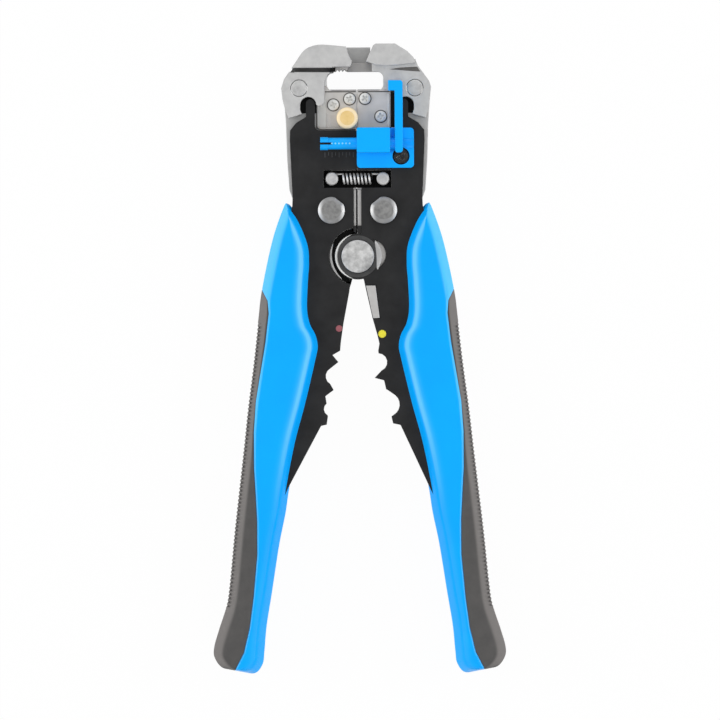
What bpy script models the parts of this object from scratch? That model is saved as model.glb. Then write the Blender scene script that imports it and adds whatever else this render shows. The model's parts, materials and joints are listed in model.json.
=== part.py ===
"""Automatic wire stripper with a sliding length stop, modelled piece by piece.

X runs across the tool, Y runs along it with the head at +Y, and Z points up from the table it lies on.
Every size is in millimetres and every mesh is made in metres. Outlines are drawn round the main pivot,
with Z counted from the middle of the tool's depth. The right-hand outlines have x above zero and
the left-hand ones are the same drawings turned over.
"""
import math

import bmesh
import bpy
from mathutils import Matrix, Vector

MM = 0.001

# Overall reach below the main pivot, and the depth of the grips
HANDLE_REACH = 135.3
GRIP_DEPTH = 20.0

# Clearances
RUN = 0.3
SEAT = 0.2

# Jaw pins, whose level carries the whole upper end of the head
PIN_X = 18.8
PIN_Y = 54.7
PIN_R = 2.5
EYE_R = 5.2
CAP_RISE = 14.3
HEAD_REACH = PIN_Y + CAP_RISE

# Layers through the depth
BODY_DEPTH = 8.0
PLATE_THICK = 2.0
CHEEK_THICK = 2.9
JAW_PLATE_THICK = 1.5
CAP_PROUD = 1.8
REAR_CAP_PROUD = 1.3

# Main pivot
BOLT_R = 3.0
BUSH_WALL = 0.8
EAR_R = 7.4
BODY_EAR_R = 7.2
LAP_R = 8.7
PLATE_CUT_R = 9.4
LOBE_R = 11.0
BOLT_HEAD_R = 5.3
BOLT_HEAD_HIGH = 2.0
NUT_R = 5.4
NUT_HIGH = 2.4
CRESCENT_X = 4.2
CRESCENT_Y = 0.6
CRESCENT_R = 5.0

# Return springs round the jaw pins
RETURN_COIL_R = 3.5
RETURN_WIRE_R = 0.35
RETURN_TURNS = 1.75
RETURN_PITCH = 0.9

# Centre slit, spring window and top edge of the lever plates
SPLIT = 0.15
BODY_SPLIT_X = -0.3
SLIT_HALF = 1.3
SLIT_FOOT = 9.9
WINDOW_HALF = 11.0
WINDOW_LOW = 22.3
WINDOW_TALL = 5.8
PLATE_TOP = PIN_Y - 13.7

# Horn at the top of each lever
HORN_X = 15.15
HORN_HALF = 1.45
HORN_TOP = PIN_Y - 3.5
NOTCH_IN = HORN_X - HORN_HALF - 0.5
GROOVE_FLOOR = 0.9

# Wire mouth between the jaws
MOUTH_LEFT = 9.75
MOUTH_RIGHT = 8.55
MOUTH_LOW = PIN_Y - 0.8
MOUTH_HIGH = PIN_Y + 5.3
MOUTH_MIDDLE = (MOUTH_LOW + MOUTH_HIGH) / 2
MOUTH_ROUND = 2.0
JAW_SEAT_Y = PIN_Y - 4.5
INSERT_HALF_DEPTH = 2.1
INSERT_FOOT = JAW_SEAT_Y + RUN
INSERT_TOP = INSERT_FOOT + 3.9
INSERT_WIDE = 7.4
INSERT_SIDE = 0.45
TOOTH_COUNT = 4
TOOTH_DEEP = 0.7
UPPER_TEETH_IN = 2.9
UPPER_TEETH_OUT = 7.4
UPPER_TEETH_LOW = MOUTH_HIGH + 0.3
UPPER_TEETH_HIGH = UPPER_TEETH_LOW + 2.7
UPPER_TEETH_HALF_DEPTH = 5.0

# Upper stripping blade
BLADE_HALF = 0.6
BLADE_END = -3.2
BLADE_LOW = MOUTH_HIGH + 0.1
BLADE_HIGH = BLADE_LOW + 2.9
BLADE_TAB_LEFT = 5.8
BLADE_TAB_RIGHT = 12.2
BLADE_TAB_HIGH = BLADE_LOW + 5.9
BLADE_SCREW = (9.3, BLADE_LOW + 4.3)
BLADE_SCREW_R = 0.8
BLADE_SCREW_HEAD_R = 1.5
BLADE_SCREW_HEAD = 0.9
BLADE_SCREW_LONG = 4.0

# Jaw plates and their screws
JAW_PLATE_FOOT = PLATE_TOP + 0.4
JAW_PLATE_LEFT = 13.1
JAW_PLATE_RIGHT = 10.9
SCREW_PLACES = ((-7.7, PIN_Y - 5.4), (-2.4, PIN_Y - 3.5), (2.6, PIN_Y - 3.35), (7.7, PIN_Y - 9.2))
SCREW_R = 0.9
SCREW_HEAD_R = 1.8
SCREW_HEAD_HIGH = 1.0

# Brass adjusting knob
KNOB_X = -3.2
KNOB_Y = PIN_Y - 9.8
KNOB_R = 3.5
KNOB_HIGH = 4.8
KNOB_STEM_R = 1.4
KNOB_STEM_LONG = 5.5

# Spring posts and tension spring
POST_X = 8.3
POST_Y = 25.25
POST_HEAD_R = 2.1
POST_HEAD_HIGH = 1.6
POST_NECK_R = 1.2
SPRING_R = 1.6
SPRING_WIRE_R = 0.4
SPRING_TURNS = 8
SPRING_PITCH = 1.2
SPRING_Z = 4.0
SPRING_POCKET_Z = 1.2

# Large rivets that stop the levers
RIVET_X = 8.5
RIVET_Y = 15.0
RIVET_R = 2.0
RIVET_HEAD_R = 4.35
RIVET_HEAD_HIGH = 1.5
RIVET_TRAVEL = 1.0

# Rivets through the tang of each lever
TANG_RIVET_PLACES = ((21.5, -18.0), (26.5, -62.0))
TANG_RIVET_R = 1.6

# Cutter blade in the right lever
CUTTER = ((2.6, -9.5), (5.7, -9.5), (7.0, -20.0), (4.9, -20.1))

# Length stop
STOP_RIGHT = 18.4
STOP_HIGH = PLATE_TOP + 0.7
STOP_LOW = STOP_HIGH - 13.0
STOP_FLANGE = 1.6
STOP_CORNER = 1.2
BOSS_WIDE = 10.7
BOSS_LOW = STOP_HIGH - 8.1
BOSS_ROOF = 1.4
ROD_R = 1.9
ROD_Y = STOP_HIGH - 5.1
ROD_LONG = 12.0
ROD_TIP_R = 2.1
ROD_TIP_LONG = 2.5
ROD_SLOT_LONG = 4.0
ROD_SLOT_WIDE = 0.7
ROD_FLOOR = 0.6
ARM_LEFT = 12.2
ARM_WIDE = 2.6
ARM_FOOT = ROD_Y - 3.0
ARM_TOP = MOUTH_HIGH - 3.0
ARM_HIGH = 3.5
HOOK_WIDE = 2.1
HOOK_TALL = 3.3
STOP_SCREW = (14.2, STOP_LOW + 3.8)
STOP_SCREW_R = 1.2
STOP_SCREW_HEAD_R = 2.3
STOP_SCREW_HEAD = 0.8
STOP_COUNTERBORE_R = 2.8
STOP_SCREW_FLOOR = 0.6

# Grip shells and pads
GRIP_ROUND = 3.0
GRIP_ROUND_STEPS = 3
GRIP_END = -HANDLE_REACH
GRIP_SHOULDER = -20.0
TANG_REACH = 88.0
RIB_START = -20.8
RIB_END = GRIP_END + 20.3
RIB_PITCH = 3.9
RIB_GAP = 0.7
RIB_REACH = 1.5
RIB_DROP = 1.8

# Heights worked out from the layers
MID_Z = GRIP_DEPTH / 2
PIVOT_Y = (HANDLE_REACH - HEAD_REACH) / 2
BODY_Z = BODY_DEPTH / 2
PLATE_Z = BODY_Z + RUN
PLATE_FACE = PLATE_Z + PLATE_THICK
CHEEK_FACE = PLATE_Z + CHEEK_THICK
CAP_FACE = CHEEK_FACE + CAP_PROUD
REAR_CAP_FACE = CHEEK_FACE + REAR_CAP_PROUD
JAW_PLATE_Z = BODY_Z - JAW_PLATE_THICK
BUSH_R = BOLT_R + RUN + BUSH_WALL
BUSH_HOLE_R = BUSH_R + RUN
WINDOW_HIGH = WINDOW_LOW + WINDOW_TALL
BLADE_SLOT = BLADE_HALF + RUN
FRONT_CAP_Z = BLADE_HALF + RUN
LUG_FACE = -(BLADE_HALF + SEAT + BLADE_SCREW_HEAD + 2 * RUN)
FLANGE_Z = PLATE_FACE + SEAT
FLANGE_FACE = FLANGE_Z + STOP_FLANGE
BORE_R = ROD_R + RUN
ROD_Z = FLANGE_Z + ROD_FLOOR + BORE_R
BOSS_FACE = ROD_Z + BORE_R + BOSS_ROOF
ARM_Z = FLANGE_FACE + RUN

FINISHES = {
    "black_steel": ((0.027, 0.027, 0.028, 1.0), 0.42, 0.6),
    "cast_silver": ((0.42, 0.42, 0.42, 1.0), 0.45, 0.8),
    "bright_steel": ((0.62, 0.62, 0.62, 1.0), 0.28, 1.0),
    "spring_steel": ((0.5, 0.5, 0.5, 1.0), 0.3, 1.0),
    "brass": ((0.75, 0.48, 0.16, 1.0), 0.3, 1.0),
    "blue_plastic": ((0.0, 0.402, 1.0, 1.0), 0.35, 0.0),
    "grey_rubber": ((0.12, 0.115, 0.11, 1.0), 0.7, 0.0),
    "black_screw": ((0.015, 0.015, 0.016, 1.0), 0.35, 0.8),
}


def clear_scene():
    """Remove everything that the new scene holds."""
    for item in list(bpy.data.objects):
        bpy.data.objects.remove(item, do_unlink=True)


def finish(name):
    """Return the named material, made on first use."""
    if name in bpy.data.materials:
        return bpy.data.materials[name]
    colour, roughness, metallic = FINISHES[name]
    material = bpy.data.materials.new(name)
    material.use_nodes = True
    shader = material.node_tree.nodes["Principled BSDF"]
    shader.inputs["Base Color"].default_value = colour
    shader.inputs["Roughness"].default_value = roughness
    shader.inputs["Metallic"].default_value = metallic
    return material


def axis_empty(name, x, y):
    """Add an empty on the joint axis that crosses the outlines at x, y."""
    empty = bpy.data.objects.new(name, None)
    empty.empty_display_size = 5 * MM
    empty.location = (x * MM, (PIVOT_Y + y) * MM, MID_Z * MM)
    bpy.context.scene.collection.objects.link(empty)
    return empty


def arc(x, y, radius, start, end, steps):
    """Points on an arc from start to end in degrees."""
    turn = math.radians(end - start) / steps
    first = math.radians(start)
    return [(x + radius * math.cos(first + turn * i), y + radius * math.sin(first + turn * i))
            for i in range(steps + 1)]


def smooth(points, steps):
    """A Catmull-Rom curve through the points, with steps parts to each span."""
    curve = []
    for i in range(len(points) - 1):
        before = Vector(points[max(i - 1, 0)])
        here = Vector(points[i])
        there = Vector(points[i + 1])
        after = Vector(points[min(i + 2, len(points) - 1)])
        for k in range(steps):
            t = k / steps
            place = (2 * here + (there - before) * t
                     + (2 * before - 5 * here + 4 * there - after) * t ** 2
                     + (3 * here - before - 3 * there + after) * t ** 3) / 2
            curve.append((place.x, place.y))
    curve.append(tuple(points[-1]))
    return curve


def offset(points, gap):
    """Move an open line sideways by gap, to the left of its direction."""
    moved = []
    for i, point in enumerate(points):
        along = Vector(points[min(i + 1, len(points) - 1)]) - Vector(points[max(i - 1, 0)])
        along.normalize()
        moved.append((point[0] - along.y * gap, point[1] + along.x * gap))
    return moved


def rounded_box(left, right, low, high, radius):
    """Outline of a rectangle with round corners."""
    return (arc(right - radius, high - radius, radius, 90, 0, 4)
            + arc(right - radius, low + radius, radius, 0, -90, 4)
            + arc(left + radius, low + radius, radius, -90, -180, 4)
            + arc(left + radius, high - radius, radius, 180, 90, 4))


def turned_over(outline, side):
    """The outline for the right (side 1) or the left (side -1) of the tool."""
    return [(x * side, y) for x, y in outline]


def place_mesh(name, mesh, material, axis):
    """Put a mesh that is drawn round the main pivot on the axis that its piece turns on."""
    piece = bpy.data.objects.new(name, mesh)
    bpy.context.scene.collection.objects.link(piece)
    home = Vector((0.0, PIVOT_Y * MM, MID_Z * MM))
    mesh.transform(Matrix.Translation(home - axis.location))
    piece.parent = axis
    if material:
        mesh.materials.append(finish(material))
    return piece


def mesh_from(form):
    """Close a bmesh with its faces turned outwards and return it as a mesh in metres."""
    bmesh.ops.recalc_face_normals(form, faces=form.faces)
    mesh = bpy.data.meshes.new("piece")
    form.to_mesh(mesh)
    form.free()
    mesh.transform(Matrix.Scale(MM, 4))
    return mesh


def slab_mesh(outline, low, high):
    """A flat piece: the outline from z low to z high."""
    form = bmesh.new()
    base = form.faces.new([form.verts.new((x, y, low)) for x, y in outline])
    raised = bmesh.ops.extrude_face_region(form, geom=[base])
    corners = [item for item in raised["geom"] if isinstance(item, bmesh.types.BMVert)]
    bmesh.ops.translate(form, verts=corners, vec=(0.0, 0.0, high - low))
    return mesh_from(form)


def inward_moves(outline, radius):
    """Sideways move of each outline point for a round rim, shorter where the form is narrow."""
    points = [Vector(point) for point in outline]
    area = sum(points[i - 1].cross(points[i]) for i in range(len(points)))
    moves = []
    for i, point in enumerate(points):
        along = (points[(i + 1) % len(points)] - points[i - 1]).normalized()
        inward = Vector((-along.y, along.x)) * math.copysign(1.0, area)
        gaps = [other - point for other in points]
        across = [gap.length for gap in gaps if gap.dot(inward) > 0.6 * gap.length]
        moves.append(inward * min([radius] + [0.4 * reach for reach in across if reach > 0]))
    return moves


def round_slab_mesh(outline, low, high, radius, steps):
    """A flat piece whose two rims are quarter rounds of the radius."""
    moves = inward_moves(outline, radius)
    form = bmesh.new()
    rings = []
    for k in range(steps + 1):
        turn = math.pi / 2 * k / steps
        rings.append((1 - math.sin(turn), low + radius * (1 - math.cos(turn))))
    rings += [(share, low + high - z) for share, z in reversed(rings)]
    loops = [[form.verts.new((point[0] + move.x * share, point[1] + move.y * share, z))
              for point, move in zip(outline, moves)] for share, z in rings]
    for lower, upper in zip(loops, loops[1:]):
        for i in range(len(outline)):
            form.faces.new((lower[i - 1], lower[i], upper[i], upper[i - 1]))
    form.faces.new(loops[0])
    form.faces.new(loops[-1])
    return mesh_from(form)


def slab(name, outline, low, high, material, axis):
    """A flat piece as an object."""
    return place_mesh(name, slab_mesh(outline, low, high), material, axis)


def turned_mesh(profile, x, y, steps):
    """A turned solid: the profile of (radius, z) points spun about an upright axis at x, y."""
    form = bmesh.new()
    corners = [form.verts.new((x + radius, y, z)) for radius, z in profile]
    edges = [form.edges.new((corners[i], corners[i + 1])) for i in range(len(corners) - 1)]
    if profile[0][0] > 0:
        edges.append(form.edges.new((corners[-1], corners[0])))
    bmesh.ops.spin(form, geom=corners + edges, cent=(x, y, 0.0), axis=(0.0, 0.0, 1.0),
                   angle=math.tau, steps=steps, use_merge=True)
    bmesh.ops.remove_doubles(form, verts=form.verts, dist=0.001)
    return mesh_from(form)


def turned(name, profile, x, y, steps, material, axis):
    """A turned solid as a smooth-shaded object."""
    mesh = turned_mesh(profile, x, y, steps)
    piece = place_mesh(name, mesh, material, axis)
    mesh.shade_smooth()
    mesh.set_sharp_from_angle(angle=math.radians(35))
    return piece


def pin_profile(radius, low, high, edge=0.2):
    """Profile of a plain pin with a small chamfer at both ends."""
    return [(0.0, low), (radius - edge, low), (radius, low + edge),
            (radius, high - edge), (radius - edge, high), (0.0, high)]


def headed_profile(shank_r, low, seat, head_r, head_high):
    """Profile of a pin whose domed head stands on the seat."""
    return [(0.0, low), (shank_r, low), (shank_r, seat), (head_r, seat),
            (head_r, seat + 0.55 * head_high), (0.88 * head_r, seat + 0.85 * head_high),
            (0.6 * head_r, seat + head_high), (0.0, seat + head_high)]


def tool_mesh(piece, mesh, operation):
    """Add a Boolean with a hidden tool mesh to the piece."""
    tool = place_mesh(piece.name + "_tool", mesh, None, piece.parent)
    tool.hide_render = True
    tool.display_type = "WIRE"
    tool.hide_viewport = False
    step = piece.modifiers.new("shape", "BOOLEAN")
    step.operation = operation
    step.solver = "EXACT"
    step.object = tool


def cut_slab(piece, outline, low, high):
    """Cut an outline out of the piece from z low to z high."""
    tool_mesh(piece, slab_mesh(outline, low, high), "DIFFERENCE")


def add_slab(piece, outline, low, high):
    """Join a flat form to the piece."""
    tool_mesh(piece, slab_mesh(outline, low, high), "UNION")


def drill(piece, x, y, radius, low, high, steps=20):
    """Drill an upright round hole."""
    tool_mesh(piece, slab_mesh(arc(x, y, radius, 0, 360, steps)[:-1], low, high), "DIFFERENCE")


def box_outline(left, right, low, high):
    """Outline of a plain rectangle."""
    return [(left, low), (right, low), (right, high), (left, high)]


def from_pins(points):
    """Points of the head's upper end, drawn with y counted from the level of the jaw pins."""
    return [(x, PIN_Y + y) for x, y in points]


def right_dies():
    """Crimping edge of the right lever, from its foot up to the pivot."""
    return ([(13.6, -54.8), (11.2, -54.3), (10.7, -52.1)]
            + arc(9.5, -48.2, 3.9, -62, 50, 6)
            + [(9.7, -43.6), (9.0, -43.2), (8.35, -40.3), (5.3, -39.5)]
            + arc(6.5, -34.4, 2.9, -68, 88, 6)
            + [(6.5, -30.6), (6.9, -28.3), (6.3, -25.7), (4.7, -20.0), (2.05, -8.1)])


def left_dies():
    """Crimping edge of the left lever, from its foot up to the pivot, turned over."""
    return ([(12.2, -55.0), (10.4, -54.6), (10.0, -51.9)]
            + arc(9.0, -49.6, 2.3, -60, 52, 4)
            + [(10.8, -45.4), (8.1, -43.4)]
            + arc(7.8, -38.9, 2.85, -60, 60, 5)
            + [(6.5, -34.3), (8.4, -32.0), (5.9, -30.6), (5.7, -28.1), (4.8, -21.8),
               (2.6, -9.9), (2.05, -8.1)])


def tang_line():
    """Edge of the lever inside the grip, down its outer side and up its inner side."""
    return [(21.2, 16.5), (24.0, 5.0), (26.3, -8.0), (26.8, -20.0), (27.6, -38.0), (29.2, -58.0),
            (30.6, 13.0 - TANG_REACH), (30.8, 3.0 - TANG_REACH), (30.0, -TANG_REACH),
            (27.4, -TANG_REACH), (26.6, 2.0 - TANG_REACH), (25.0, 8.5 - TANG_REACH),
            (22.9, 13.1 - TANG_REACH)]


def lever_outline(dies, with_ear, slit):
    """Outline of a lever plate, with a round ear on the main pivot or cut clear of the other's ear.

    The edge beside the centre slit stands at x = slit.
    """
    horn_foot = HORN_X - HORN_HALF
    outline = [(SPLIT, WINDOW_HIGH), (SPLIT, PLATE_TOP), (horn_foot - 1.3, PLATE_TOP),
               (horn_foot - 0.3, PLATE_TOP + 0.5), (horn_foot, PLATE_TOP + 1.6)]
    outline += arc(HORN_X, HORN_TOP - HORN_HALF, HORN_HALF, 180, 0, 8)
    outline += [(HORN_X + HORN_HALF, PLATE_TOP + 4.4), (19.9, PLATE_TOP + 2.4), (21.8, PLATE_TOP),
                (21.9, PLATE_TOP - 3.0), (21.1, 19.3)]
    outline += tang_line() + dies
    if with_ear:
        outline += arc(0.0, 0.0, EAR_R, -76, math.degrees(math.acos(slit / EAR_R)) - 360, 24)
    else:
        outline += arc(0.0, 0.0, PLATE_CUT_R, -76, math.degrees(math.acos(slit / PLATE_CUT_R)), 18)
    outline += [(slit, SLIT_FOOT), (slit, WINDOW_LOW)]
    outline += [(WINDOW_HALF, WINDOW_LOW), (WINDOW_HALF, WINDOW_HIGH)]
    return outline


def crescent_outline():
    """Crescent between the ear and the plate, through which the head body shows."""
    reach = math.hypot(CRESCENT_X, CRESCENT_Y)
    lean = math.degrees(math.atan2(CRESCENT_Y, CRESCENT_X))
    spread = math.degrees(math.acos((EAR_R ** 2 + reach ** 2 - CRESCENT_R ** 2) / (2 * EAR_R * reach)))
    ear_side = arc(0.0, 0.0, EAR_R, lean + spread, lean - spread, 10)
    top = math.degrees(math.atan2(ear_side[0][1] - CRESCENT_Y, ear_side[0][0] - CRESCENT_X))
    foot = math.degrees(math.atan2(ear_side[-1][1] - CRESCENT_Y, ear_side[-1][0] - CRESCENT_X))
    return ear_side[1:-1] + arc(CRESCENT_X, CRESCENT_Y, CRESCENT_R, foot, top, 12)


def lever_plate(name, side, front, axis):
    """One black plate of a lever, at the front or the rear."""
    dies = right_dies() if side > 0 else left_dies()
    with_ear = (side > 0) == front
    low = PLATE_Z if front else -PLATE_FACE
    high = low + PLATE_THICK
    outline = lever_outline(dies, with_ear, SLIT_HALF if front else SPLIT)
    plate = slab(name, turned_over(outline, side), low, high, "black_steel", axis)
    if with_ear:
        cut_slab(plate, turned_over(crescent_outline(), side), low - 1, high + 1)
        drill(plate, 0.0, 0.0, BUSH_HOLE_R, low - 1, high + 1, 32)
    drill(plate, side * RIVET_X, RIVET_Y, RIVET_R + RUN, low - 1, high + 1)
    for x, y in TANG_RIVET_PLACES:
        drill(plate, side * x, y, TANG_RIVET_R + SEAT, low - 1, high + 1, 16)
    if side > 0 and front:
        slot = [(x + (SEAT if x > 5 else -2.0), y + math.copysign(SEAT, y + RIVET_Y)) for x, y in CUTTER]
        cut_slab(plate, slot, low - 1, high + 1)
        drill(plate, STOP_SCREW[0], STOP_SCREW[1], STOP_SCREW_R + SEAT, low - 1, high + 1, 16)


def die_core(name, side, axis):
    """Thick die and tang between the plates of a lever."""
    dies = right_dies() if side > 0 else left_dies()
    outline = tang_line()[3:] + [point for point in dies if point[1] < -LOBE_R - 1]
    outline += arc(0.0, 0.0, LOBE_R + RUN, -76, -14, 10)
    outline += [(16.0, -3.4), (24.9, -3.4), (26.3, -8.0)]
    core = slab(name, turned_over(outline, side), -BODY_Z, BODY_Z, "black_steel", axis)
    for x, y in TANG_RIVET_PLACES:
        drill(core, side * x, y, TANG_RIVET_R + SEAT, -BODY_Z - 1, BODY_Z + 1, 16)


def body_outline(inner, lobe_end):
    """Outline of a head body, with its ear on the main pivot and its eye on the jaw pin.

    Its edge at the split stands at x = inner, and its lobe runs down to the angle lobe_end.
    """
    outline = [(inner, JAW_SEAT_Y), (INSERT_WIDE + SEAT, JAW_SEAT_Y),
               (INSERT_WIDE + SEAT, MOUTH_LOW - 0.5), (12.6, MOUTH_LOW - 0.5)]
    outline += arc(PIN_X, PIN_Y, EYE_R, 195, 0, 14)
    outline += from_pins([(23.3, -8.7), (23.1, -12.0)])
    outline += [(22.8, 32.0), (22.1, 21.6), (20.4, 17.0), (17.0, 12.0), (12.5, 6.2)]
    outline += arc(0.0, 0.0, LOBE_R, 20, lobe_end, 8)
    outline += arc(0.0, 0.0, BODY_EAR_R, lobe_end, math.degrees(math.acos(inner / BODY_EAR_R)) - 360, 26)
    return outline


def head_body(name, side, axis):
    """Cast body between the lever plates. The two bodies lap at half their depth on the main pivot."""
    lobe_end = -52 if side > 0 else -70
    outline = body_outline(side * BODY_SPLIT_X + SPLIT, lobe_end)
    body = slab(name, turned_over(outline, side), -BODY_Z, BODY_Z, "cast_silver", axis)
    lap = (-BODY_Z - 1, SEAT / 2) if side > 0 else (-SEAT / 2, BODY_Z + 1)
    drill(body, 0.0, 0.0, LAP_R, lap[0], lap[1], 40)
    ear = (SEAT / 2, BODY_Z) if side > 0 else (-BODY_Z, -SEAT / 2)
    add_slab(body, arc(0.0, 0.0, BODY_EAR_R, 0, 360, 36)[:-1], ear[0], ear[1])
    root = turned_over(box_outline(BODY_EAR_R - 2.5, LAP_R + 0.5, 0.5, BODY_EAR_R - 2.5), side)
    add_slab(body, root, ear[0], ear[1])
    drill(body, 0.0, 0.0, BUSH_HOLE_R, -BODY_Z - 1, BODY_Z + 1, 32)
    drill(body, side * PIN_X, PIN_Y, PIN_R + RUN, -BODY_Z - 1, BODY_Z + 1)
    drill(body, side * PIN_X, PIN_Y, RETURN_COIL_R + RETURN_WIRE_R + RUN, -BODY_Z - 1, -1.4, 24)
    drill(body, side * RIVET_X, RIVET_Y, RIVET_R + RIVET_TRAVEL + RUN, -BODY_Z - 1, BODY_Z + 1)
    drill(body, side * POST_X, POST_Y, POST_NECK_R + SEAT, -BODY_Z - 1, BODY_Z + 1, 16)
    pocket = turned_over(box_outline(-1.0, WINDOW_HALF, WINDOW_LOW, WINDOW_HIGH), side)
    cut_slab(body, pocket, SPRING_POCKET_Z, BODY_Z + 1)
    reach = JAW_PLATE_RIGHT if side > 0 else JAW_PLATE_LEFT
    seat = turned_over(box_outline(-1.0, reach + RUN, JAW_PLATE_FOOT - RUN, HEAD_REACH), side)
    cut_slab(body, seat, JAW_PLATE_Z - SEAT, BODY_Z + 1)
    cut_slab(body, seat, -BODY_Z - 1, -JAW_PLATE_Z + SEAT)
    for x, y in SCREW_PLACES:
        if x * side > 0:
            drill(body, x, y, SCREW_R + SEAT, -BODY_Z, BODY_Z, 14)
    if side < 0:
        drill(body, KNOB_X, KNOB_Y, KNOB_STEM_R + SEAT, -BODY_Z, BODY_Z, 16)


def jaw_plate(name, side, front, axis):
    """Flat plate screwed on the head body below the wire mouth."""
    end = MOUTH_RIGHT if side > 0 else MOUTH_LEFT
    reach = JAW_PLATE_RIGHT if side > 0 else JAW_PLATE_LEFT
    outline = [(SPLIT, MOUTH_LOW), (SPLIT, JAW_PLATE_FOOT), (reach - 0.8, JAW_PLATE_FOOT),
               (reach, JAW_PLATE_FOOT + 0.8), (reach, MOUTH_MIDDLE)]
    outline += arc(end - MOUTH_ROUND, MOUTH_LOW + MOUTH_ROUND, MOUTH_ROUND, 0, -90, 8)
    low = JAW_PLATE_Z if front else -BODY_Z
    plate = slab(name, turned_over(outline, side), low, low + JAW_PLATE_THICK, "cast_silver", axis)
    for x, y in SCREW_PLACES:
        if x * side > 0:
            drill(plate, x, y, SCREW_R + SEAT, low - 1, low + JAW_PLATE_THICK + 1, 14)
    if side < 0 and front:
        drill(plate, KNOB_X, KNOB_Y, KNOB_STEM_R + SEAT, low - 1, low + JAW_PLATE_THICK + 1, 16)


def tail_and_notch(notch_out, end=180):
    """Edge of a cheek from its tail round the notch that the horn pushes in, to the angle end."""
    radius = (notch_out - NOTCH_IN) / 2
    edge = from_pins([(22.3, -9.7), (19.8, -9.0), (notch_out - 0.5, -8.4), (notch_out, -6.9)])
    return edge + arc(NOTCH_IN + radius, HORN_TOP + 0.7 - radius, radius, 0, end, 10)


def inner_tail(inner):
    """Edge of a cheek inside its notch, up to the mouth's end at x = inner."""
    edge = from_pins([(NOTCH_IN - 0.6, -5.8), (11.4, -5.5)])
    return edge + [(inner, JAW_SEAT_Y), (inner, MOUTH_MIDDLE)]


def left_jaw(axis):
    """Upper jaw over the gripping teeth: a cap with a cheek on both faces of the head."""
    contour = from_pins([(20.2, 7.7), (22.0, 5.3), (23.7, 2.9), (24.6, 0.0), (24.2, -3.7), (23.3, -7.1)])
    mouth_end = inner_tail(10.6)
    mouth_end += arc(MOUTH_LEFT - MOUTH_ROUND, MOUTH_HIGH - MOUTH_ROUND, MOUTH_ROUND, 0, 66, 6)
    front = contour[1:] + tail_and_notch(18.5) + mouth_end
    rear = contour + tail_and_notch(17.4) + mouth_end + [(7.6, MOUTH_HIGH), (7.6, MOUTH_HIGH + 2.6)]
    cap = from_pins([(7.9, 6.6), (7.9, 8.7), (1.9, 8.7), (1.9, 8.9), (2.85, 11.2)])
    cap += [(3.5, HEAD_REACH - 0.9)]
    cap += smooth([(7.8, HEAD_REACH - 0.5), (12.7, HEAD_REACH - 0.3)]
                  + from_pins([(16.9, 12.4), (19.8, 8.5), (21.1, 6.6)]), 3)
    jaw = slab("left_upper_jaw", turned_over(cap, -1), -REAR_CAP_FACE, CAP_FACE, "cast_silver", axis)
    add_slab(jaw, turned_over(front, -1), PLATE_Z, CHEEK_FACE)
    add_slab(jaw, turned_over(rear, -1), -CHEEK_FACE, -PLATE_Z)
    groove = box_outline(8.3, 20.4, MOUTH_HIGH - 0.6, MOUTH_HIGH + 1.8)
    add_slab(jaw, turned_over(groove, -1), PLATE_Z, PLATE_Z + GROOVE_FLOOR)
    skirt = from_pins([(8.2, 6.9), (8.2, 9.0), (1.7, 9.0), (1.6, 8.6), (1.9, 7.3), (2.4, 6.9)])
    add_slab(jaw, turned_over(skirt, -1), UPPER_TEETH_HALF_DEPTH + RUN, CAP_FACE)
    lug = from_pins([(-4.4, 8.4), (-4.4, CAP_RISE - 0.8), (5.0, CAP_RISE - 0.8), (5.0, 9.3), (2.6, 9.0),
                     (2.6, 7.8), (-1.0, 7.8)])
    add_slab(jaw, turned_over(lug, -1), -REAR_CAP_FACE, LUG_FACE)
    drill(jaw, -PIN_X, PIN_Y, PIN_R + RUN, -CHEEK_FACE - 1, CHEEK_FACE + 1, 24)


def right_jaw(axis):
    """Upper jaw over the stripping blades."""
    contour = from_pins([(19.0, 9.3), (19.8, 7.2), (22.6, 3.4), (24.1, 0.3), (23.7, -2.8), (23.2, -7.1)])
    front = contour + tail_and_notch(18.5, 115) + from_pins([(13.0, -1.2), (12.2, -0.7)])
    front += [(MOUTH_RIGHT + 0.4, PIN_Y - 0.5), (MOUTH_RIGHT, PIN_Y + 0.2)]
    front += arc(MOUTH_RIGHT - MOUTH_ROUND, MOUTH_HIGH - MOUTH_ROUND, MOUTH_ROUND, 0, 90, 8)
    front += [(4.9, MOUTH_HIGH), (4.9, MOUTH_HIGH + 3.5)]
    rear = contour + tail_and_notch(17.4) + inner_tail(10.0)
    rear += [(MOUTH_RIGHT, MOUTH_MIDDLE)] + from_pins([(8.6, 4.3), (12.6, 9.1), (14.0, 10.3)])
    shoulder = from_pins([(16.4, 11.8), (18.3, 9.9), (19.2, 8.1)])
    cap = [(3.0, MOUTH_HIGH + 3.3), (5.35, HEAD_REACH - 0.5), (6.2, HEAD_REACH), (12.4, HEAD_REACH)]
    cap += shoulder + from_pins([(13.5, 7.4), (9.0, 7.2), (5.9, 7.6)])
    jaw = slab("right_upper_jaw", cap, FRONT_CAP_Z, CAP_FACE, "cast_silver", axis)
    rear_cap = from_pins([(13.3, 7.4), (13.3, CAP_RISE - 0.4)]) + shoulder
    add_slab(jaw, rear_cap, -REAR_CAP_FACE, FRONT_CAP_Z + 1.5)
    add_slab(jaw, front, PLATE_Z, CHEEK_FACE)
    add_slab(jaw, rear, -CHEEK_FACE, -PLATE_Z)
    drill(jaw, PIN_X, PIN_Y, PIN_R + RUN, -CHEEK_FACE - 1, CHEEK_FACE + 1, 24)
    drill(jaw, BLADE_SCREW[0], BLADE_SCREW[1], BLADE_SCREW_R + SEAT, 0.0,
          FRONT_CAP_Z + BLADE_SCREW_LONG, 12)


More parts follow.
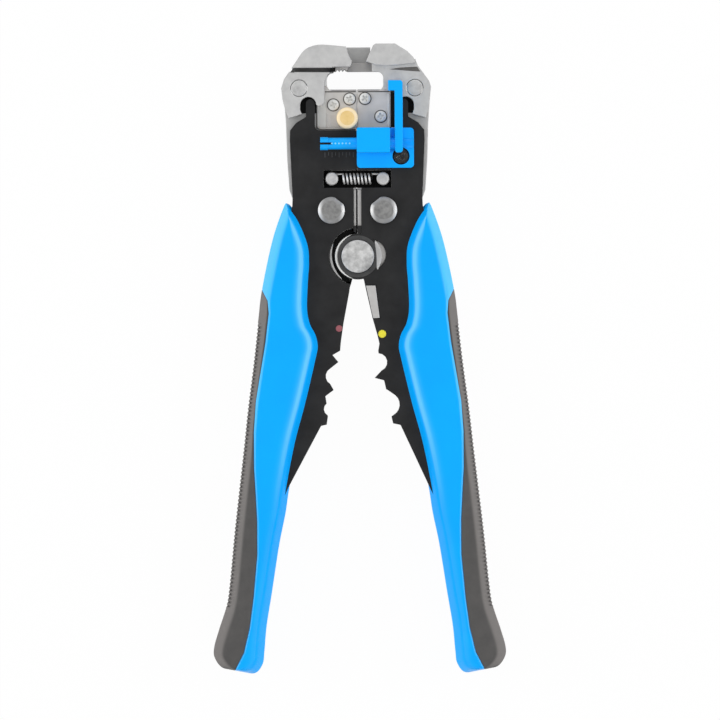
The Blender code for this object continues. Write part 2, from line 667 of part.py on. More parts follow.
def toothed_edge(start, end, y, tooth, count):
    """Saw teeth from x start to x end, whose tips reach y and whose roots lie tooth away."""
    pitch = (end - start) / count
    edge = []
    for i in range(count):
        edge += [(start + pitch * i, y + tooth), (start + pitch * (i + 0.5), y)]
    edge.append((end, y + tooth))
    return edge


def jaw_inserts(head_axis, left_jaw_axis, right_jaw_axis):
    """Hard inserts: two rows of gripping teeth and two stripping blades."""
    upper = [(-UPPER_TEETH_IN, UPPER_TEETH_HIGH), (-UPPER_TEETH_OUT, UPPER_TEETH_HIGH)]
    upper += toothed_edge(-UPPER_TEETH_OUT, -UPPER_TEETH_IN, UPPER_TEETH_LOW, TOOTH_DEEP,
                          TOOTH_COUNT)
    grip = slab("upper_gripping_jaw", upper, -UPPER_TEETH_HALF_DEPTH, UPPER_TEETH_HALF_DEPTH,
                "bright_steel", left_jaw_axis)
    slot = box_outline(-6.0, 0.0, UPPER_TEETH_LOW - 1.0, UPPER_TEETH_HIGH + 1.0)
    cut_slab(grip, slot, -BLADE_SLOT, BLADE_SLOT)

    lower = [(-INSERT_SIDE, INSERT_FOOT), (-INSERT_WIDE, INSERT_FOOT)]
    lower += toothed_edge(-INSERT_WIDE, -INSERT_SIDE, INSERT_TOP, -TOOTH_DEEP / 2, 2 * TOOTH_COUNT)
    seat = slab("lower_gripping_jaw", lower, -INSERT_HALF_DEPTH, INSERT_HALF_DEPTH, "bright_steel",
                head_axis)
    drill(seat, SCREW_PLACES[1][0], SCREW_PLACES[1][1], SCREW_R + SEAT, -BODY_Z, BODY_Z, 14)
    cut_slab(seat, box_outline(-4.6, 1.0, INSERT_TOP - 2.6, INSERT_TOP + 1), -BLADE_SLOT, BLADE_SLOT)

    blade = slab("lower_stripping_blade", box_outline(INSERT_SIDE, INSERT_WIDE, INSERT_FOOT, INSERT_TOP),
                 -INSERT_HALF_DEPTH, INSERT_HALF_DEPTH, "bright_steel", head_axis)
    drill(blade, SCREW_PLACES[2][0], SCREW_PLACES[2][1], SCREW_R + SEAT, -BODY_Z, BODY_Z, 14)
    slot = box_outline(-1.0, INSERT_WIDE + 1.0, INSERT_TOP - 1.8, INSERT_TOP + 1.0)
    cut_slab(blade, slot, -BLADE_SLOT, BLADE_SLOT)

    outline = [(BLADE_END, BLADE_LOW), (BLADE_TAB_RIGHT, BLADE_LOW), (BLADE_TAB_RIGHT, BLADE_TAB_HIGH),
               (BLADE_TAB_LEFT, BLADE_TAB_HIGH), (BLADE_TAB_LEFT, BLADE_HIGH),
               (BLADE_END + 1.6, BLADE_HIGH), (BLADE_END, BLADE_LOW + 1.3)]
    top = slab("upper_stripping_blade", outline, -BLADE_HALF, BLADE_HALF, "bright_steel", right_jaw_axis)
    drill(top, BLADE_SCREW[0], BLADE_SCREW[1], BLADE_SCREW_R + SEAT, -2.0, 2.0, 12)
    seat_z = -BLADE_HALF - SEAT
    head = [(0.0, seat_z - BLADE_SCREW_HEAD), (BLADE_SCREW_HEAD_R - 0.3, seat_z - BLADE_SCREW_HEAD),
            (BLADE_SCREW_HEAD_R, seat_z - BLADE_SCREW_HEAD + 0.3), (BLADE_SCREW_HEAD_R, seat_z),
            (BLADE_SCREW_R, seat_z), (BLADE_SCREW_R, FRONT_CAP_Z + BLADE_SCREW_LONG - SEAT),
            (0.0, FRONT_CAP_Z + BLADE_SCREW_LONG - SEAT)]
    turned("upper_blade_screw", head, BLADE_SCREW[0], BLADE_SCREW[1], 16, "bright_steel", right_jaw_axis)


def jaw_pin(name, side, axis):
    """Pin of an upper jaw, flush with both cheeks."""
    profile = pin_profile(PIN_R, -CHEEK_FACE, CHEEK_FACE + SEAT, 0.4)
    turned(name, profile, side * PIN_X, PIN_Y, 28, "bright_steel", axis)


def wire(name, route, radius, sides, material, axis):
    """Round wire along the route of x, y, z points."""
    points = [Vector(point) for point in route]
    form = bmesh.new()
    side = Vector((0.0, 0.0, 1.0))
    loops = []
    for i, point in enumerate(points):
        along = (points[min(i + 1, len(points) - 1)] - points[max(i - 1, 0)]).normalized()
        side = (side - along * side.dot(along)).normalized()
        across = along.cross(side)
        loops.append([form.verts.new(point + radius * (side * math.cos(turn) + across * math.sin(turn)))
                      for turn in (math.tau * k / sides for k in range(sides))])
    for near, far in zip(loops, loops[1:]):
        for k in range(sides):
            form.faces.new((near[k - 1], near[k], far[k], far[k - 1]))
    form.faces.new(loops[0])
    form.faces.new(loops[-1])
    piece = place_mesh(name, mesh_from(form), material, axis)
    piece.data.shade_smooth()
    piece.data.set_sharp_from_angle(angle=math.radians(60))


def tension_spring(axis):
    """Close-wound spring between the posts, with an open hook round each post's neck."""
    hook_r = POST_NECK_R + RUN + SPRING_WIRE_R
    coil_half = SPRING_TURNS * SPRING_PITCH / 2
    route = [(-x, y, SPRING_Z) for x, y in arc(POST_X, POST_Y, hook_r, -100, 130, 8)]
    steps = 12 * SPRING_TURNS
    for i in range(steps + 1):
        turn = math.tau * i / 12
        x = -coil_half + 2 * coil_half * i / steps
        route.append((x, POST_Y + SPRING_R * math.cos(turn), SPRING_Z + SPRING_R * math.sin(turn)))
    route += [(x, y, SPRING_Z) for x, y in arc(POST_X, POST_Y, hook_r, 130, -100, 8)]
    wire("tension_spring", route, SPRING_WIRE_R, 6, "spring_steel", axis)


def return_spring(name, side, axis):
    """Coil round a jaw pin, in the counterbore of the head body."""
    steps = int(RETURN_TURNS * 16)
    route = []
    for i in range(steps + 1):
        turn = math.tau * i / 16
        x = PIN_X + RETURN_COIL_R * math.cos(turn)
        z = -BODY_Z + RETURN_WIRE_R + RUN + RETURN_PITCH * i / 16
        route.append((side * x, PIN_Y + RETURN_COIL_R * math.sin(turn), z))
    wire(name, route, RETURN_WIRE_R, 6, "spring_steel", axis)


def spring_post(name, side, axis):
    """Headed post that holds one hook of the tension spring."""
    neck_top = SPRING_Z + SPRING_WIRE_R + RUN
    profile = [(0.0, -BODY_Z), (POST_NECK_R, -BODY_Z), (POST_NECK_R, neck_top), (POST_HEAD_R, neck_top),
               (POST_HEAD_R, neck_top + POST_HEAD_HIGH - 0.4),
               (POST_HEAD_R - 0.4, neck_top + POST_HEAD_HIGH), (0.0, neck_top + POST_HEAD_HIGH)]
    turned(name, profile, side * POST_X, POST_Y, 24, "bright_steel", axis)


def stop_rivet(name, side, axis):
    """Large rivet through both plates. It crosses the head body in a wide hole that stops the lever."""
    seat = PLATE_FACE + SEAT
    profile = [(0.0, -seat - RIVET_HEAD_HIGH), (RIVET_HEAD_R - 0.5, -seat - RIVET_HEAD_HIGH),
               (RIVET_HEAD_R, -seat - RIVET_HEAD_HIGH + 0.5), (RIVET_HEAD_R, -seat), (RIVET_R, -seat)]
    profile += [(radius, -z) for radius, z in reversed(profile)]
    turned(name, profile, side * RIVET_X, RIVET_Y, 28, "bright_steel", axis)


def main_pivot(axis):
    """Headed bolt, bush and hexagon nut on the main pivot."""
    seat = PLATE_FACE + SEAT
    nut_low = -seat - NUT_HIGH
    turned("pivot_bolt", headed_profile(BOLT_R, nut_low, seat, BOLT_HEAD_R, BOLT_HEAD_HIGH),
           0.0, 0.0, 36, "bright_steel", axis)
    tube = [(BUSH_R, -PLATE_FACE), (BUSH_R, PLATE_FACE), (BUSH_R - BUSH_WALL, PLATE_FACE),
            (BUSH_R - BUSH_WALL, -PLATE_FACE)]
    turned("pivot_bush", tube, 0.0, 0.0, 28, "bright_steel", axis)
    nut = slab("pivot_nut", arc(0.0, 0.0, NUT_R, 0, 360, 6)[:-1], nut_low, -seat, "bright_steel", axis)
    drill(nut, 0.0, 0.0, BOLT_R + SEAT, nut_low - 1, -seat + 1, 24)


def fasteners(head_axis, lever_axis):
    """Jaw plate screws, tang rivets and the cutter blade."""
    for number, (x, y) in enumerate(SCREW_PLACES, start=1):
        profile = headed_profile(SCREW_R, -BODY_Z, BODY_Z + SEAT, SCREW_HEAD_R, SCREW_HEAD_HIGH)
        turned("jaw_plate_screw_%d" % number, profile, x, y, 20, "bright_steel", head_axis)
    for side, word in ((-1, "left"), (1, "right")):
        for (x, y), level in zip(TANG_RIVET_PLACES, ("upper", "lower")):
            turned("%s_tang_rivet_%s" % (word, level), pin_profile(TANG_RIVET_R, -PLATE_FACE, PLATE_FACE),
                   side * x, y, 16, "bright_steel", lever_axis)
    slab("cutter_blade", list(CUTTER), PLATE_Z, PLATE_FACE + SEAT, "bright_steel", lever_axis)


def adjusting_knob(axis):
    """Brass knob with its threaded stem."""
    low = BODY_Z + SEAT
    profile = [(0.0, BODY_Z - KNOB_STEM_LONG), (KNOB_STEM_R, BODY_Z - KNOB_STEM_LONG), (KNOB_STEM_R, low),
               (KNOB_R - 0.5, low), (KNOB_R, low + 0.5), (KNOB_R, low + KNOB_HIGH - 0.5),
               (KNOB_R - 0.5, low + KNOB_HIGH), (2.3, low + KNOB_HIGH), (1.9, low + KNOB_HIGH - 0.4),
               (0.0, low + KNOB_HIGH - 0.4)]
    turned("adjusting_knob", profile, KNOB_X, KNOB_Y, 32, "brass", axis)


def rod_mesh(steps, right):
    """Round bar along X at the height of the stop's bore; each step is its radius from a place on."""
    profile = [(0.0, steps[0][1])]
    for (radius, left), end in zip(steps, [left for _, left in steps[1:]] + [right]):
        profile += [(radius, left), (radius, end)]
    mesh = turned_mesh(profile + [(0.0, right)], 0.0, 0.0, 24)
    mesh.transform(Matrix.Rotation(math.radians(90), 4, "Y"))
    mesh.transform(Matrix.Translation(Vector((0.0, ROD_Y, ROD_Z)) * MM))
    return mesh


def length_stop(lever_axis, slide_axis):
    """Stop bracket with a bored boss, its screw, and the sliding rod with the hooked arm."""
    bracket = slab("stop_bracket", rounded_box(-SPLIT, STOP_RIGHT, STOP_LOW, STOP_HIGH, STOP_CORNER),
                   FLANGE_Z, FLANGE_FACE, "blue_plastic", lever_axis)
    boss = rounded_box(-SPLIT, BOSS_WIDE, BOSS_LOW, STOP_HIGH, 0.5)
    add_slab(bracket, boss, FLANGE_FACE - 0.5, BOSS_FACE)
    tool_mesh(bracket, rod_mesh([(BORE_R, -2.0)], STOP_RIGHT + 1.0), "DIFFERENCE")
    seat = FLANGE_Z + STOP_SCREW_FLOOR
    drill(bracket, STOP_SCREW[0], STOP_SCREW[1], STOP_COUNTERBORE_R, seat, FLANGE_FACE + 1, 24)
    drill(bracket, STOP_SCREW[0], STOP_SCREW[1], STOP_SCREW_R + SEAT, FLANGE_Z - 1, FLANGE_FACE + 1, 16)

    arm_right = ARM_LEFT + ARM_WIDE
    hook_left = ARM_LEFT - HOOK_WIDE
    arm = [(ARM_LEFT, ARM_FOOT + 0.6), (ARM_LEFT + 0.6, ARM_FOOT), (arm_right - 0.6, ARM_FOOT),
           (arm_right, ARM_FOOT + 0.6), (arm_right, ARM_TOP - 0.6), (arm_right - 0.6, ARM_TOP),
           (hook_left, ARM_TOP), (hook_left, ARM_TOP - HOOK_TALL), (ARM_LEFT, ARM_TOP - HOOK_TALL)]
    slider = slab("stop_slider", arm, ARM_Z, ARM_Z + ARM_HIGH, "blue_plastic", slide_axis)
    rod = [(ROD_TIP_R, -ROD_LONG), (ROD_R, ROD_TIP_LONG - ROD_LONG)]
    tool_mesh(slider, rod_mesh(rod, ARM_LEFT + 1.3), "UNION")
    slot_half = ROD_SLOT_WIDE / 2
    slot = box_outline(-ROD_LONG - 1, ROD_SLOT_LONG - ROD_LONG, ROD_Y - slot_half, ROD_Y + slot_half)
    cut_slab(slider, slot, ROD_Z - 2 * ROD_R, ROD_Z + 2 * ROD_R)

    screw = headed_profile(STOP_SCREW_R, PLATE_Z, seat + SEAT, STOP_SCREW_HEAD_R, STOP_SCREW_HEAD)
    turned("stop_screw", screw, STOP_SCREW[0], STOP_SCREW[1], 20, "black_screw", lever_axis)


def along_grip(points):
    """Points (x, share) at a share of the way from the grip's shoulder down to its end."""
    return [(x, GRIP_SHOULDER + share * (GRIP_END - GRIP_SHOULDER)) for x, share in points]


def grip_outer():
    """Outer edge of a handle grip, from its top down to its foot."""
    edge = [(23.7, 17.2), (27.7, 5.4), (31.2, -10.7), (32.4, GRIP_SHOULDER)]
    edge += along_grip([(34.0, 0.121), (36.0, 0.255), (37.4, 0.365),
                        (39.3, 0.507), (40.7, 0.614), (42.2, 0.747)])
    edge += [(43.3, GRIP_END + 21.8), (45.7, GRIP_END + 14.3), (47.3, GRIP_END + 8.7),
             (47.2, GRIP_END + 5.2), (44.7, GRIP_END + 1.9), (40.0, GRIP_END + 1.1), (34.4, GRIP_END),
             (31.7, GRIP_END + 2.8)]
    return edge


def grip_outline():
    """Closed outline of a whole handle grip."""
    inner = [(31.1, GRIP_END + 6.8), (30.3, GRIP_END + 15.3)]
    inner += along_grip([(28.5, 0.772), (26.1, 0.640), (24.0, 0.551),
                         (22.6, 0.473), (19.8, 0.351), (16.3, 0.239)])
    inner += along_grip([(12.9, 0.114), (12.2, 0.080), (12.9, 0.046), (14.8, 0.012)])
    inner += [(15.6, -16.6), (15.3, -8.2), (14.9, -2.2), (15.4, 4.1), (18.4, 11.7), (21.7, 16.6)]
    return smooth(grip_outer(), 2) + smooth(inner, 2)


def pad_region(shift):
    """Region of the grey pad: outside the seam line, moved outwards by shift."""
    seam = [(33.5, -6.3), (31.2, -10.7), (29.3, -14.4), (29.0, -18.5)]
    seam += along_grip([(30.1, 0.069), (31.9, 0.160), (33.3, 0.234),
                        (34.0, 0.321), (34.0, 0.422), (33.5, 0.500)])
    seam += along_grip([(33.1, 0.570), (33.1, 0.664), (34.4, 0.787)])
    seam += [(35.7, GRIP_END + 14.8), (37.6, GRIP_END + 6.8), (40.0, GRIP_END + 2.1),
             (42.4, GRIP_END - 3.0)]
    line = [(x + shift, y + shift * 0.4) for x, y in smooth(seam, 2)]
    return line + [(60.0, GRIP_END - 3.0), (60.0, -6.3)]


def edge_at(level):
    """How far out the grip's outer edge stands at the y level."""
    edge = grip_outer()
    for (near_x, near_y), (far_x, far_y) in zip(edge, edge[1:]):
        if far_y <= level:
            break
    return near_x + (far_x - near_x) * (level - near_y) / (far_y - near_y)


def rib_comb():
    """Comb whose teeth cut the gaps between the ribs along the outer edge of a pad."""
    teeth = []
    spine = []
    for k in range(int((RIB_START - RIB_END) / RIB_PITCH) + 1):
        level = RIB_START - RIB_PITCH * k
        edge = edge_at(level)
        high = level + RIB_GAP / 2
        low = level - RIB_GAP / 2
        root = edge + GRIP_ROUND
        teeth += [(root, high), (edge - RIB_REACH, high), (edge - RIB_REACH, low), (root, low)]
        spine += [(root + GRIP_ROUND, high), (root + GRIP_ROUND, low)]
    return teeth + spine[::-1]


def grips(side, word, axis):
    """Blue shell and grey pad of one handle, with the pocket that takes the lever's tang."""
    half = GRIP_DEPTH / 2
    outline = turned_over(grip_outline(), side)
    pocket = [(20.3, 24.0)] + tang_line()
    pocket = offset(pocket, RUN) + [(12.0, -62.0), (5.0, -30.0), (5.0, 24.0)]
    shell_mesh = round_slab_mesh(outline, -half, half, GRIP_ROUND, GRIP_ROUND_STEPS)
    shell = place_mesh(word + "_grip_shell", shell_mesh, "blue_plastic", axis)
    cut_slab(shell, turned_over(pad_region(0.0), side), -half - 1, half + 1)
    cut_slab(shell, turned_over(pocket, side), -PLATE_FACE - RUN, PLATE_FACE + RUN)
    pad_mesh = round_slab_mesh(outline, -half, half, GRIP_ROUND, GRIP_ROUND_STEPS)
    pad = place_mesh(word + "_grip_pad", pad_mesh, "grey_rubber", axis)
    tool_mesh(pad, slab_mesh(turned_over(pad_region(SEAT), side), -half - 1, half + 1), "INTERSECT")
    comb = turned_over(rib_comb(), side)
    cut_slab(pad, comb, half - RIB_DROP, half + 1)
    cut_slab(pad, comb, -half - 1, RIB_DROP - half)


def build():
    """Build every piece on the axis that it turns on."""
    clear_scene()
    pivot = axis_empty("main_pivot_axis", 0.0, 0.0)
    left_pin = axis_empty("left_jaw_axis", -PIN_X, PIN_Y)
    right_pin = axis_empty("right_jaw_axis", PIN_X, PIN_Y)
    knob = axis_empty("knob_axis", KNOB_X, KNOB_Y)
    slide = axis_empty("stop_slide_axis", 0.0, ROD_Y)
    for side, word in ((-1, "left"), (1, "right")):
        lever_plate(word + "_front_plate", side, True, pivot)
        lever_plate(word + "_rear_plate", side, False, pivot)
        die_core(word + "_die_core", side, pivot)
        head_body(word + "_head_body", side, pivot)
        jaw_plate(word + "_front_jaw_plate", side, True, pivot)
        jaw_plate(word + "_rear_jaw_plate", side, False, pivot)
        jaw_pin(word + "_jaw_pin", side, pivot)
        return_spring(word + "_return_spring", side, pivot)
        spring_post(word + "_spring_post", side, pivot)
        stop_rivet(word + "_stop_rivet", side, pivot)
        grips(side, word, pivot)
    left_jaw(left_pin)
    right_jaw(right_pin)
    jaw_inserts(pivot, left_pin, right_pin)
    tension_spring(pivot)
    main_pivot(pivot)
    fasteners(pivot, pivot)
    adjusting_knob(knob)
    length_stop(pivot, slide)


build()
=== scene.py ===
"""Looks of an automatic wire stripper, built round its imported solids.

Everything is in metres in the frame of the solids: X across the tool, Y along it with the head at +Y,
Z up from the table. Sizes inside the classes are in millimetres, counted from the main pivot and from
the middle of the tool's depth, and are turned into metres by the function to_metres.
"""
from __future__ import annotations

import json
import logging
import math
from collections.abc import Iterator
from contextlib import contextmanager
from dataclasses import dataclass, field
from enum import Enum

import bmesh
import bpy
import numpy as np
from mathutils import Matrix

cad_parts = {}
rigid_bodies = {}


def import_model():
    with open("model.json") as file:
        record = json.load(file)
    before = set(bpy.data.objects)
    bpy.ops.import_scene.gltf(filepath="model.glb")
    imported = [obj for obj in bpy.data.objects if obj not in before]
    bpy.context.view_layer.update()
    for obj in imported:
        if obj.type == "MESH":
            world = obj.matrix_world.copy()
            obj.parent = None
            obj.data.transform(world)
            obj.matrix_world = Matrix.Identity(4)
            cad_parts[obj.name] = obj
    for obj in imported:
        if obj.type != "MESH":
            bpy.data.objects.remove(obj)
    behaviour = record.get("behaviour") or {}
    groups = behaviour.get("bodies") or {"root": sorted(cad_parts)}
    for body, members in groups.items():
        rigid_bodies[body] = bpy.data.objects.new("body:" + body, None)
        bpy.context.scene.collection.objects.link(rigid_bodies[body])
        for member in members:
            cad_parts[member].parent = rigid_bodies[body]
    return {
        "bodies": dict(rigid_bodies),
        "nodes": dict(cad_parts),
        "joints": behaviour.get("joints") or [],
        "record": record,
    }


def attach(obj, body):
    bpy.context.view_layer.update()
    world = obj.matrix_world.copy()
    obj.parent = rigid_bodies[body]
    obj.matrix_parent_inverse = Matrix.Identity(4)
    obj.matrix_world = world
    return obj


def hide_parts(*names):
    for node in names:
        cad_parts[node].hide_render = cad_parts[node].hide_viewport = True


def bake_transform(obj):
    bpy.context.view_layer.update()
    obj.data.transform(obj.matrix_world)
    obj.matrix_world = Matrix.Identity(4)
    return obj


LOG = logging.getLogger("wire_stripper")

Pair = tuple[float, float]
Triple = tuple[float, float, float]
Rect = tuple[float, float, float, float]
ArrayPair = tuple[np.ndarray, np.ndarray]

MM = 0.001
PIVOT_Y = 33.15
MID_Z = 10.0
# In new pieces: points this close are welded, edges this short dropped, corners this steep kept sharp
WELD = 2e-6
SPECK = 1e-7
SHARP_ANGLE = math.radians(38)


class Side(Enum):
    """The half of the tool that a piece belongs to, with the sign of its X."""

    LEFT = -1
    RIGHT = 1

    @property
    def word(self) -> str:
        """Word that the names of this half start with."""
        return self.name.lower()


# Helpers for arrays and meshes


def to_metres(points: np.ndarray) -> np.ndarray:
    """Move drawing points to the frame of the solids.

    Args:
        points: Array (..., 3) in millimetres, from the main pivot and mid depth.

    Returns:
        The same points in metres.
    """
    return (points + np.array([0.0, PIVOT_Y, MID_Z])) * MM


def spline(points: np.ndarray, count: int, fine: int = 24) -> np.ndarray:
    """Even points along a Catmull-Rom curve.

    On each span the curve is half of 2a + (c - z)t + (2z - 5a + 4c - d)t^2 + (3a - z - 3c + d)t^3, with
    a and c the span's ends and z and d the points before and after. It is then read off at equal lengths.

    Args:
        points: Array (n, 2) of points on the curve.
        count: Number of points wanted.
        fine: Points worked out on each span.

    Returns:
        Array (count, 2).
    """
    p = np.asarray(points, float)
    p = np.vstack([2 * p[0] - p[1], p, 2 * p[-1] - p[-2]])
    z, a, c, d = (p[k:len(p) - 3 + k, None, :] for k in range(4))
    t = np.linspace(0.0, 1.0, fine, endpoint=False)[None, :, None]
    spans = 0.5 * (2 * a + (c - z) * t + (2 * z - 5 * a + 4 * c - d) * t**2 + (3 * a - z - 3 * c + d) * t**3)
    line = np.vstack([spans.reshape(-1, 2), p[-2]])
    run = np.concatenate([[0.0], np.cumsum(np.linalg.norm(np.diff(line, axis=0), axis=1))])
    wanted = np.linspace(0.0, run[-1], count)
    return np.stack([np.interp(wanted, run, line[:, k]) for k in range(2)], axis=1)


def smooth_step(value: np.ndarray, low: float, high: float) -> np.ndarray:
    """Cubic step 3t^2 - 2t^3 of t, the share of the way from low to high."""
    t = np.clip((value - low) / (high - low), 0.0, 1.0)
    return t * t * (3.0 - 2.0 * t)


def soft_min(a: np.ndarray, b: np.ndarray, blend: float) -> np.ndarray:
    """Lower of two surfaces, rounded: half of a + b less the root of (a - b)^2 + blend^2."""
    return 0.5 * (a + b - np.sqrt((a - b) ** 2 + blend**2))


def in_scene(name: str, mesh: bpy.types.Mesh) -> bpy.types.Object:
    """Link a mesh to the scene as a new object, and return the object."""
    piece = bpy.data.objects.new(name, mesh)
    bpy.context.scene.collection.objects.link(piece)
    return piece


@contextmanager
def edited(mesh: bpy.types.Mesh) -> Iterator[bmesh.types.BMesh]:
    """Open a mesh for edits and write them back afterwards."""
    form = bmesh.new()
    form.from_mesh(mesh)
    yield form
    form.to_mesh(mesh)
    form.free()


def mesh_of(name: str, points: np.ndarray, faces: np.ndarray) -> bpy.types.Object:
    """Make a closed piece from point and quad arrays, weld it and turn its faces outwards.

    Args:
        name: Name of the piece.
        points: Array (..., 3) in millimetres, numbered row by row.
        faces: Array (m, 4) of point numbers.

    Returns:
        The new object.
    """
    mesh = bpy.data.meshes.new(name)
    place = to_metres(points).astype(np.float32).reshape(-1, 3)
    mesh.vertices.add(len(place))
    mesh.vertices.foreach_set("co", place.ravel())
    mesh.loops.add(faces.size)
    mesh.loops.foreach_set("vertex_index", faces.ravel().astype(np.int32))
    mesh.polygons.add(len(faces))
    mesh.polygons.foreach_set("loop_start", np.arange(0, faces.size, 4, dtype=np.int32))
    mesh.update(calc_edges=True)
    with edited(mesh) as form:
        bmesh.ops.remove_doubles(form, verts=form.verts, dist=WELD)
        bmesh.ops.dissolve_degenerate(form, edges=form.edges, dist=SPECK)
        bmesh.ops.recalc_face_normals(form, faces=form.faces)
    mesh.shade_smooth()
    mesh.set_sharp_from_angle(angle=SHARP_ANGLE)
    return in_scene(name, mesh)


def sheet_faces(rows: int, columns: int, wrap_rows: bool, wrap_columns: bool) -> np.ndarray:
    """Quads of a grid of points, closed round its rows or columns where asked.

    Args:
        rows: Number of rows of points.
        columns: Number of points in a row.
        wrap_rows: Join the last row to the first.
        wrap_columns: Join the end of each row to its start.

    Returns:
        Array (n, 4) of point numbers.
    """
    i = np.arange(rows if wrap_rows else rows - 1)[:, None]
    j = np.arange(columns if wrap_columns else columns - 1)[None, :]
    up, on = (i + 1) % rows, (j + 1) % columns
    corners = [i * columns + j, i * columns + on, up * columns + on, up * columns + j]
    return np.stack([np.broadcast_to(c, np.broadcast(i, j).shape) for c in corners], axis=-1).reshape(-1, 4)


def circle(steps: int) -> np.ndarray:
    """Angles of even steps round a circle, array (steps, 1)."""
    return np.linspace(0.0, math.tau, steps, endpoint=False)[:, None]


def round_piece(name: str, reach: np.ndarray, height: np.ndarray,
                place: Pair = (0.0, 0.0)) -> bpy.types.Object:
    """A closed round piece: each angle a has a row of points (x + r cos a, y + r sin a, z).

    Args:
        name: Name of the piece.
        reach: Distances r from the axis, array (steps, n).
        height: Heights z, array (steps, n), or (n,) where they are the same at every angle.
        place: Centre of the piece.

    Returns:
        The new object.
    """
    angle = circle(len(reach))
    points = np.stack([place[0] + reach * np.cos(angle), place[1] + reach * np.sin(angle),
                       height + 0 * reach], axis=-1)
    return mesh_of(name, points, sheet_faces(*reach.shape, True, False))


def turned_piece(name: str, profile: list[Pair], place: Pair, steps: int = 64) -> bpy.types.Object:
    """A turned piece.

    Args:
        name: Name of the piece.
        profile: Points (r, z) from the axis round the outside and back to the axis.
        place: Centre of the piece.
        steps: Points round the axis.

    Returns:
        The new object.
    """
    r, z = np.array(profile, float).T
    return round_piece(name, r + 0 * circle(steps), z, place)


def headed_piece(name: str, place: Pair, r: np.ndarray, top: np.ndarray,
                 skirt: list[Pair]) -> bpy.types.Object:
    """A round piece whose top has a height at each of its points.

    Args:
        name: Name of the piece.
        place: Centre of the piece.
        r: Distances from the axis across the top, array (n,).
        top: Heights of the top, array (steps, n).
        skirt: Points (r, z) below the top's rim, from it to the axis.

    Returns:
        The new object.
    """
    every = np.zeros((len(top), 1))
    below = np.array(skirt, float)
    reach = np.concatenate([r, below[:, 0]]) + every
    return round_piece(name, reach, np.concatenate([top, below[:, 1] + every], axis=1), place)


def arc(place: Pair, radius: float, start: float, end: float, count: int) -> np.ndarray:
    """Points (x + r cos a, y + r sin a), with the angle a in degrees in even steps from start to end."""
    angle = np.radians(np.linspace(start, end, count))
    return np.stack([place[0] + radius * np.cos(angle), place[1] + radius * np.sin(angle)], axis=1)


def box(left: float, right: float, low: float, high: float) -> np.ndarray:
    """Corners of an upright box in plan."""
    return np.array([(left, low), (right, low), (right, high), (left, high)])


def flat_piece(name: str, plan: np.ndarray, low: float, high: float) -> bpy.types.Object:
    """Flat plate: the points of its plan at two heights, joined by a wall.

    Args:
        name: Name of the piece.
        plan: Array (n, 2) of the outline in millimetres, without its first point again.
        low: Height of the underside.
        high: Height of the top.

    Returns:
        The new object.
    """
    count = len(plan)
    points = np.concatenate([np.insert(plan, 2, z, axis=1) for z in (low, high)])
    ring = np.arange(count)
    on = np.roll(ring, -1)
    walls = np.stack([ring, on, on + count, ring + count], axis=1)
    faces = [ring[::-1].tolist(), (ring + count).tolist()] + walls.tolist()
    mesh = bpy.data.meshes.new(name)
    mesh.from_pydata(to_metres(points).tolist(), [], faces)
    with edited(mesh) as form:
        bmesh.ops.recalc_face_normals(form, faces=form.faces)
    return in_scene(name, mesh)


def ring_piece(name: str, radii: Pair, heights: Pair, place: Pair) -> bpy.types.Object:
    """Flat ring between two radii and two heights."""
    (inner, outer), (low, high) = radii, heights
    profile = [(inner, low), (outer, low), (outer, high), (inner, high), (inner, low)]
    return turned_piece(name, profile, place)


# Shader node groups and finishes


class Graph:
    """Adds nodes to a node tree with their inputs set or linked."""

    def __init__(self, tree: bpy.types.NodeTree) -> None:
        """Keep the tree that nodes are added to."""
        self.tree = tree

    def add(self, kind: str, settings: dict | None = None, **inputs: object) -> bpy.types.Node:
        """Add a node.

        Args:
            kind: Class name of the node, without its first part ShaderNode.
            settings: Attributes of the node to set.
            inputs: Value or output socket for each input, named with _ for a space. An input called
                at_N is the Nth socket.

        Returns:
            The node.
        """
        node = self.tree.nodes.new("ShaderNode" + kind)
        for name, value in (settings or {}).items():
            setattr(node, name, value)
        for name, value in inputs.items():
            if name.startswith("at_"):
                socket = node.inputs[int(name[3:])]
            else:
                socket = node.inputs[name.replace("_", " ")]
            if isinstance(value, bpy.types.NodeSocket):
                self.tree.links.new(value, socket)
            else:
                socket.default_value = value
        return node

    def math(self, operation: str, *values: object, clamp: bool = False) -> bpy.types.NodeSocket:
        """Add a Math node and return its output."""
        inputs = {"at_%d" % k: value for k, value in enumerate(values)}
        return self.add("Math", {"operation": operation, "use_clamp": clamp}, **inputs).outputs[0]

    def mix(self, share: object, first: object, second: object) -> bpy.types.NodeSocket:
        """Add a colour Mix node and return its output."""
        node = self.add("Mix", {"data_type": "RGBA"}, at_0=share, at_6=first, at_7=second)
        return node.outputs[2]

    def ramp(self, value: object, low: float, high: float, first: float = 0.0, last: float = 1.0,
             smooth: bool = False) -> bpy.types.NodeSocket:
        """Add a Map Range node that turns low to high into first to last, and return its output."""
        kind = "SMOOTHSTEP" if smooth else "LINEAR"
        node = self.add("MapRange", {"interpolation_type": kind}, Value=value, From_Min=low,
                        From_Max=high, To_Min=first, To_Max=last)
        return node.outputs[0]

    def noise(self, scale: object, detail: float, roughness: float = 0.5) -> bpy.types.NodeSocket:
        """Add a Noise node over the object's coordinates and return its value."""
        where = self.add("TexCoord").outputs["Object"]
        return self.add("TexNoise", Vector=where, Scale=scale, Detail=detail, Roughness=roughness).outputs[0]


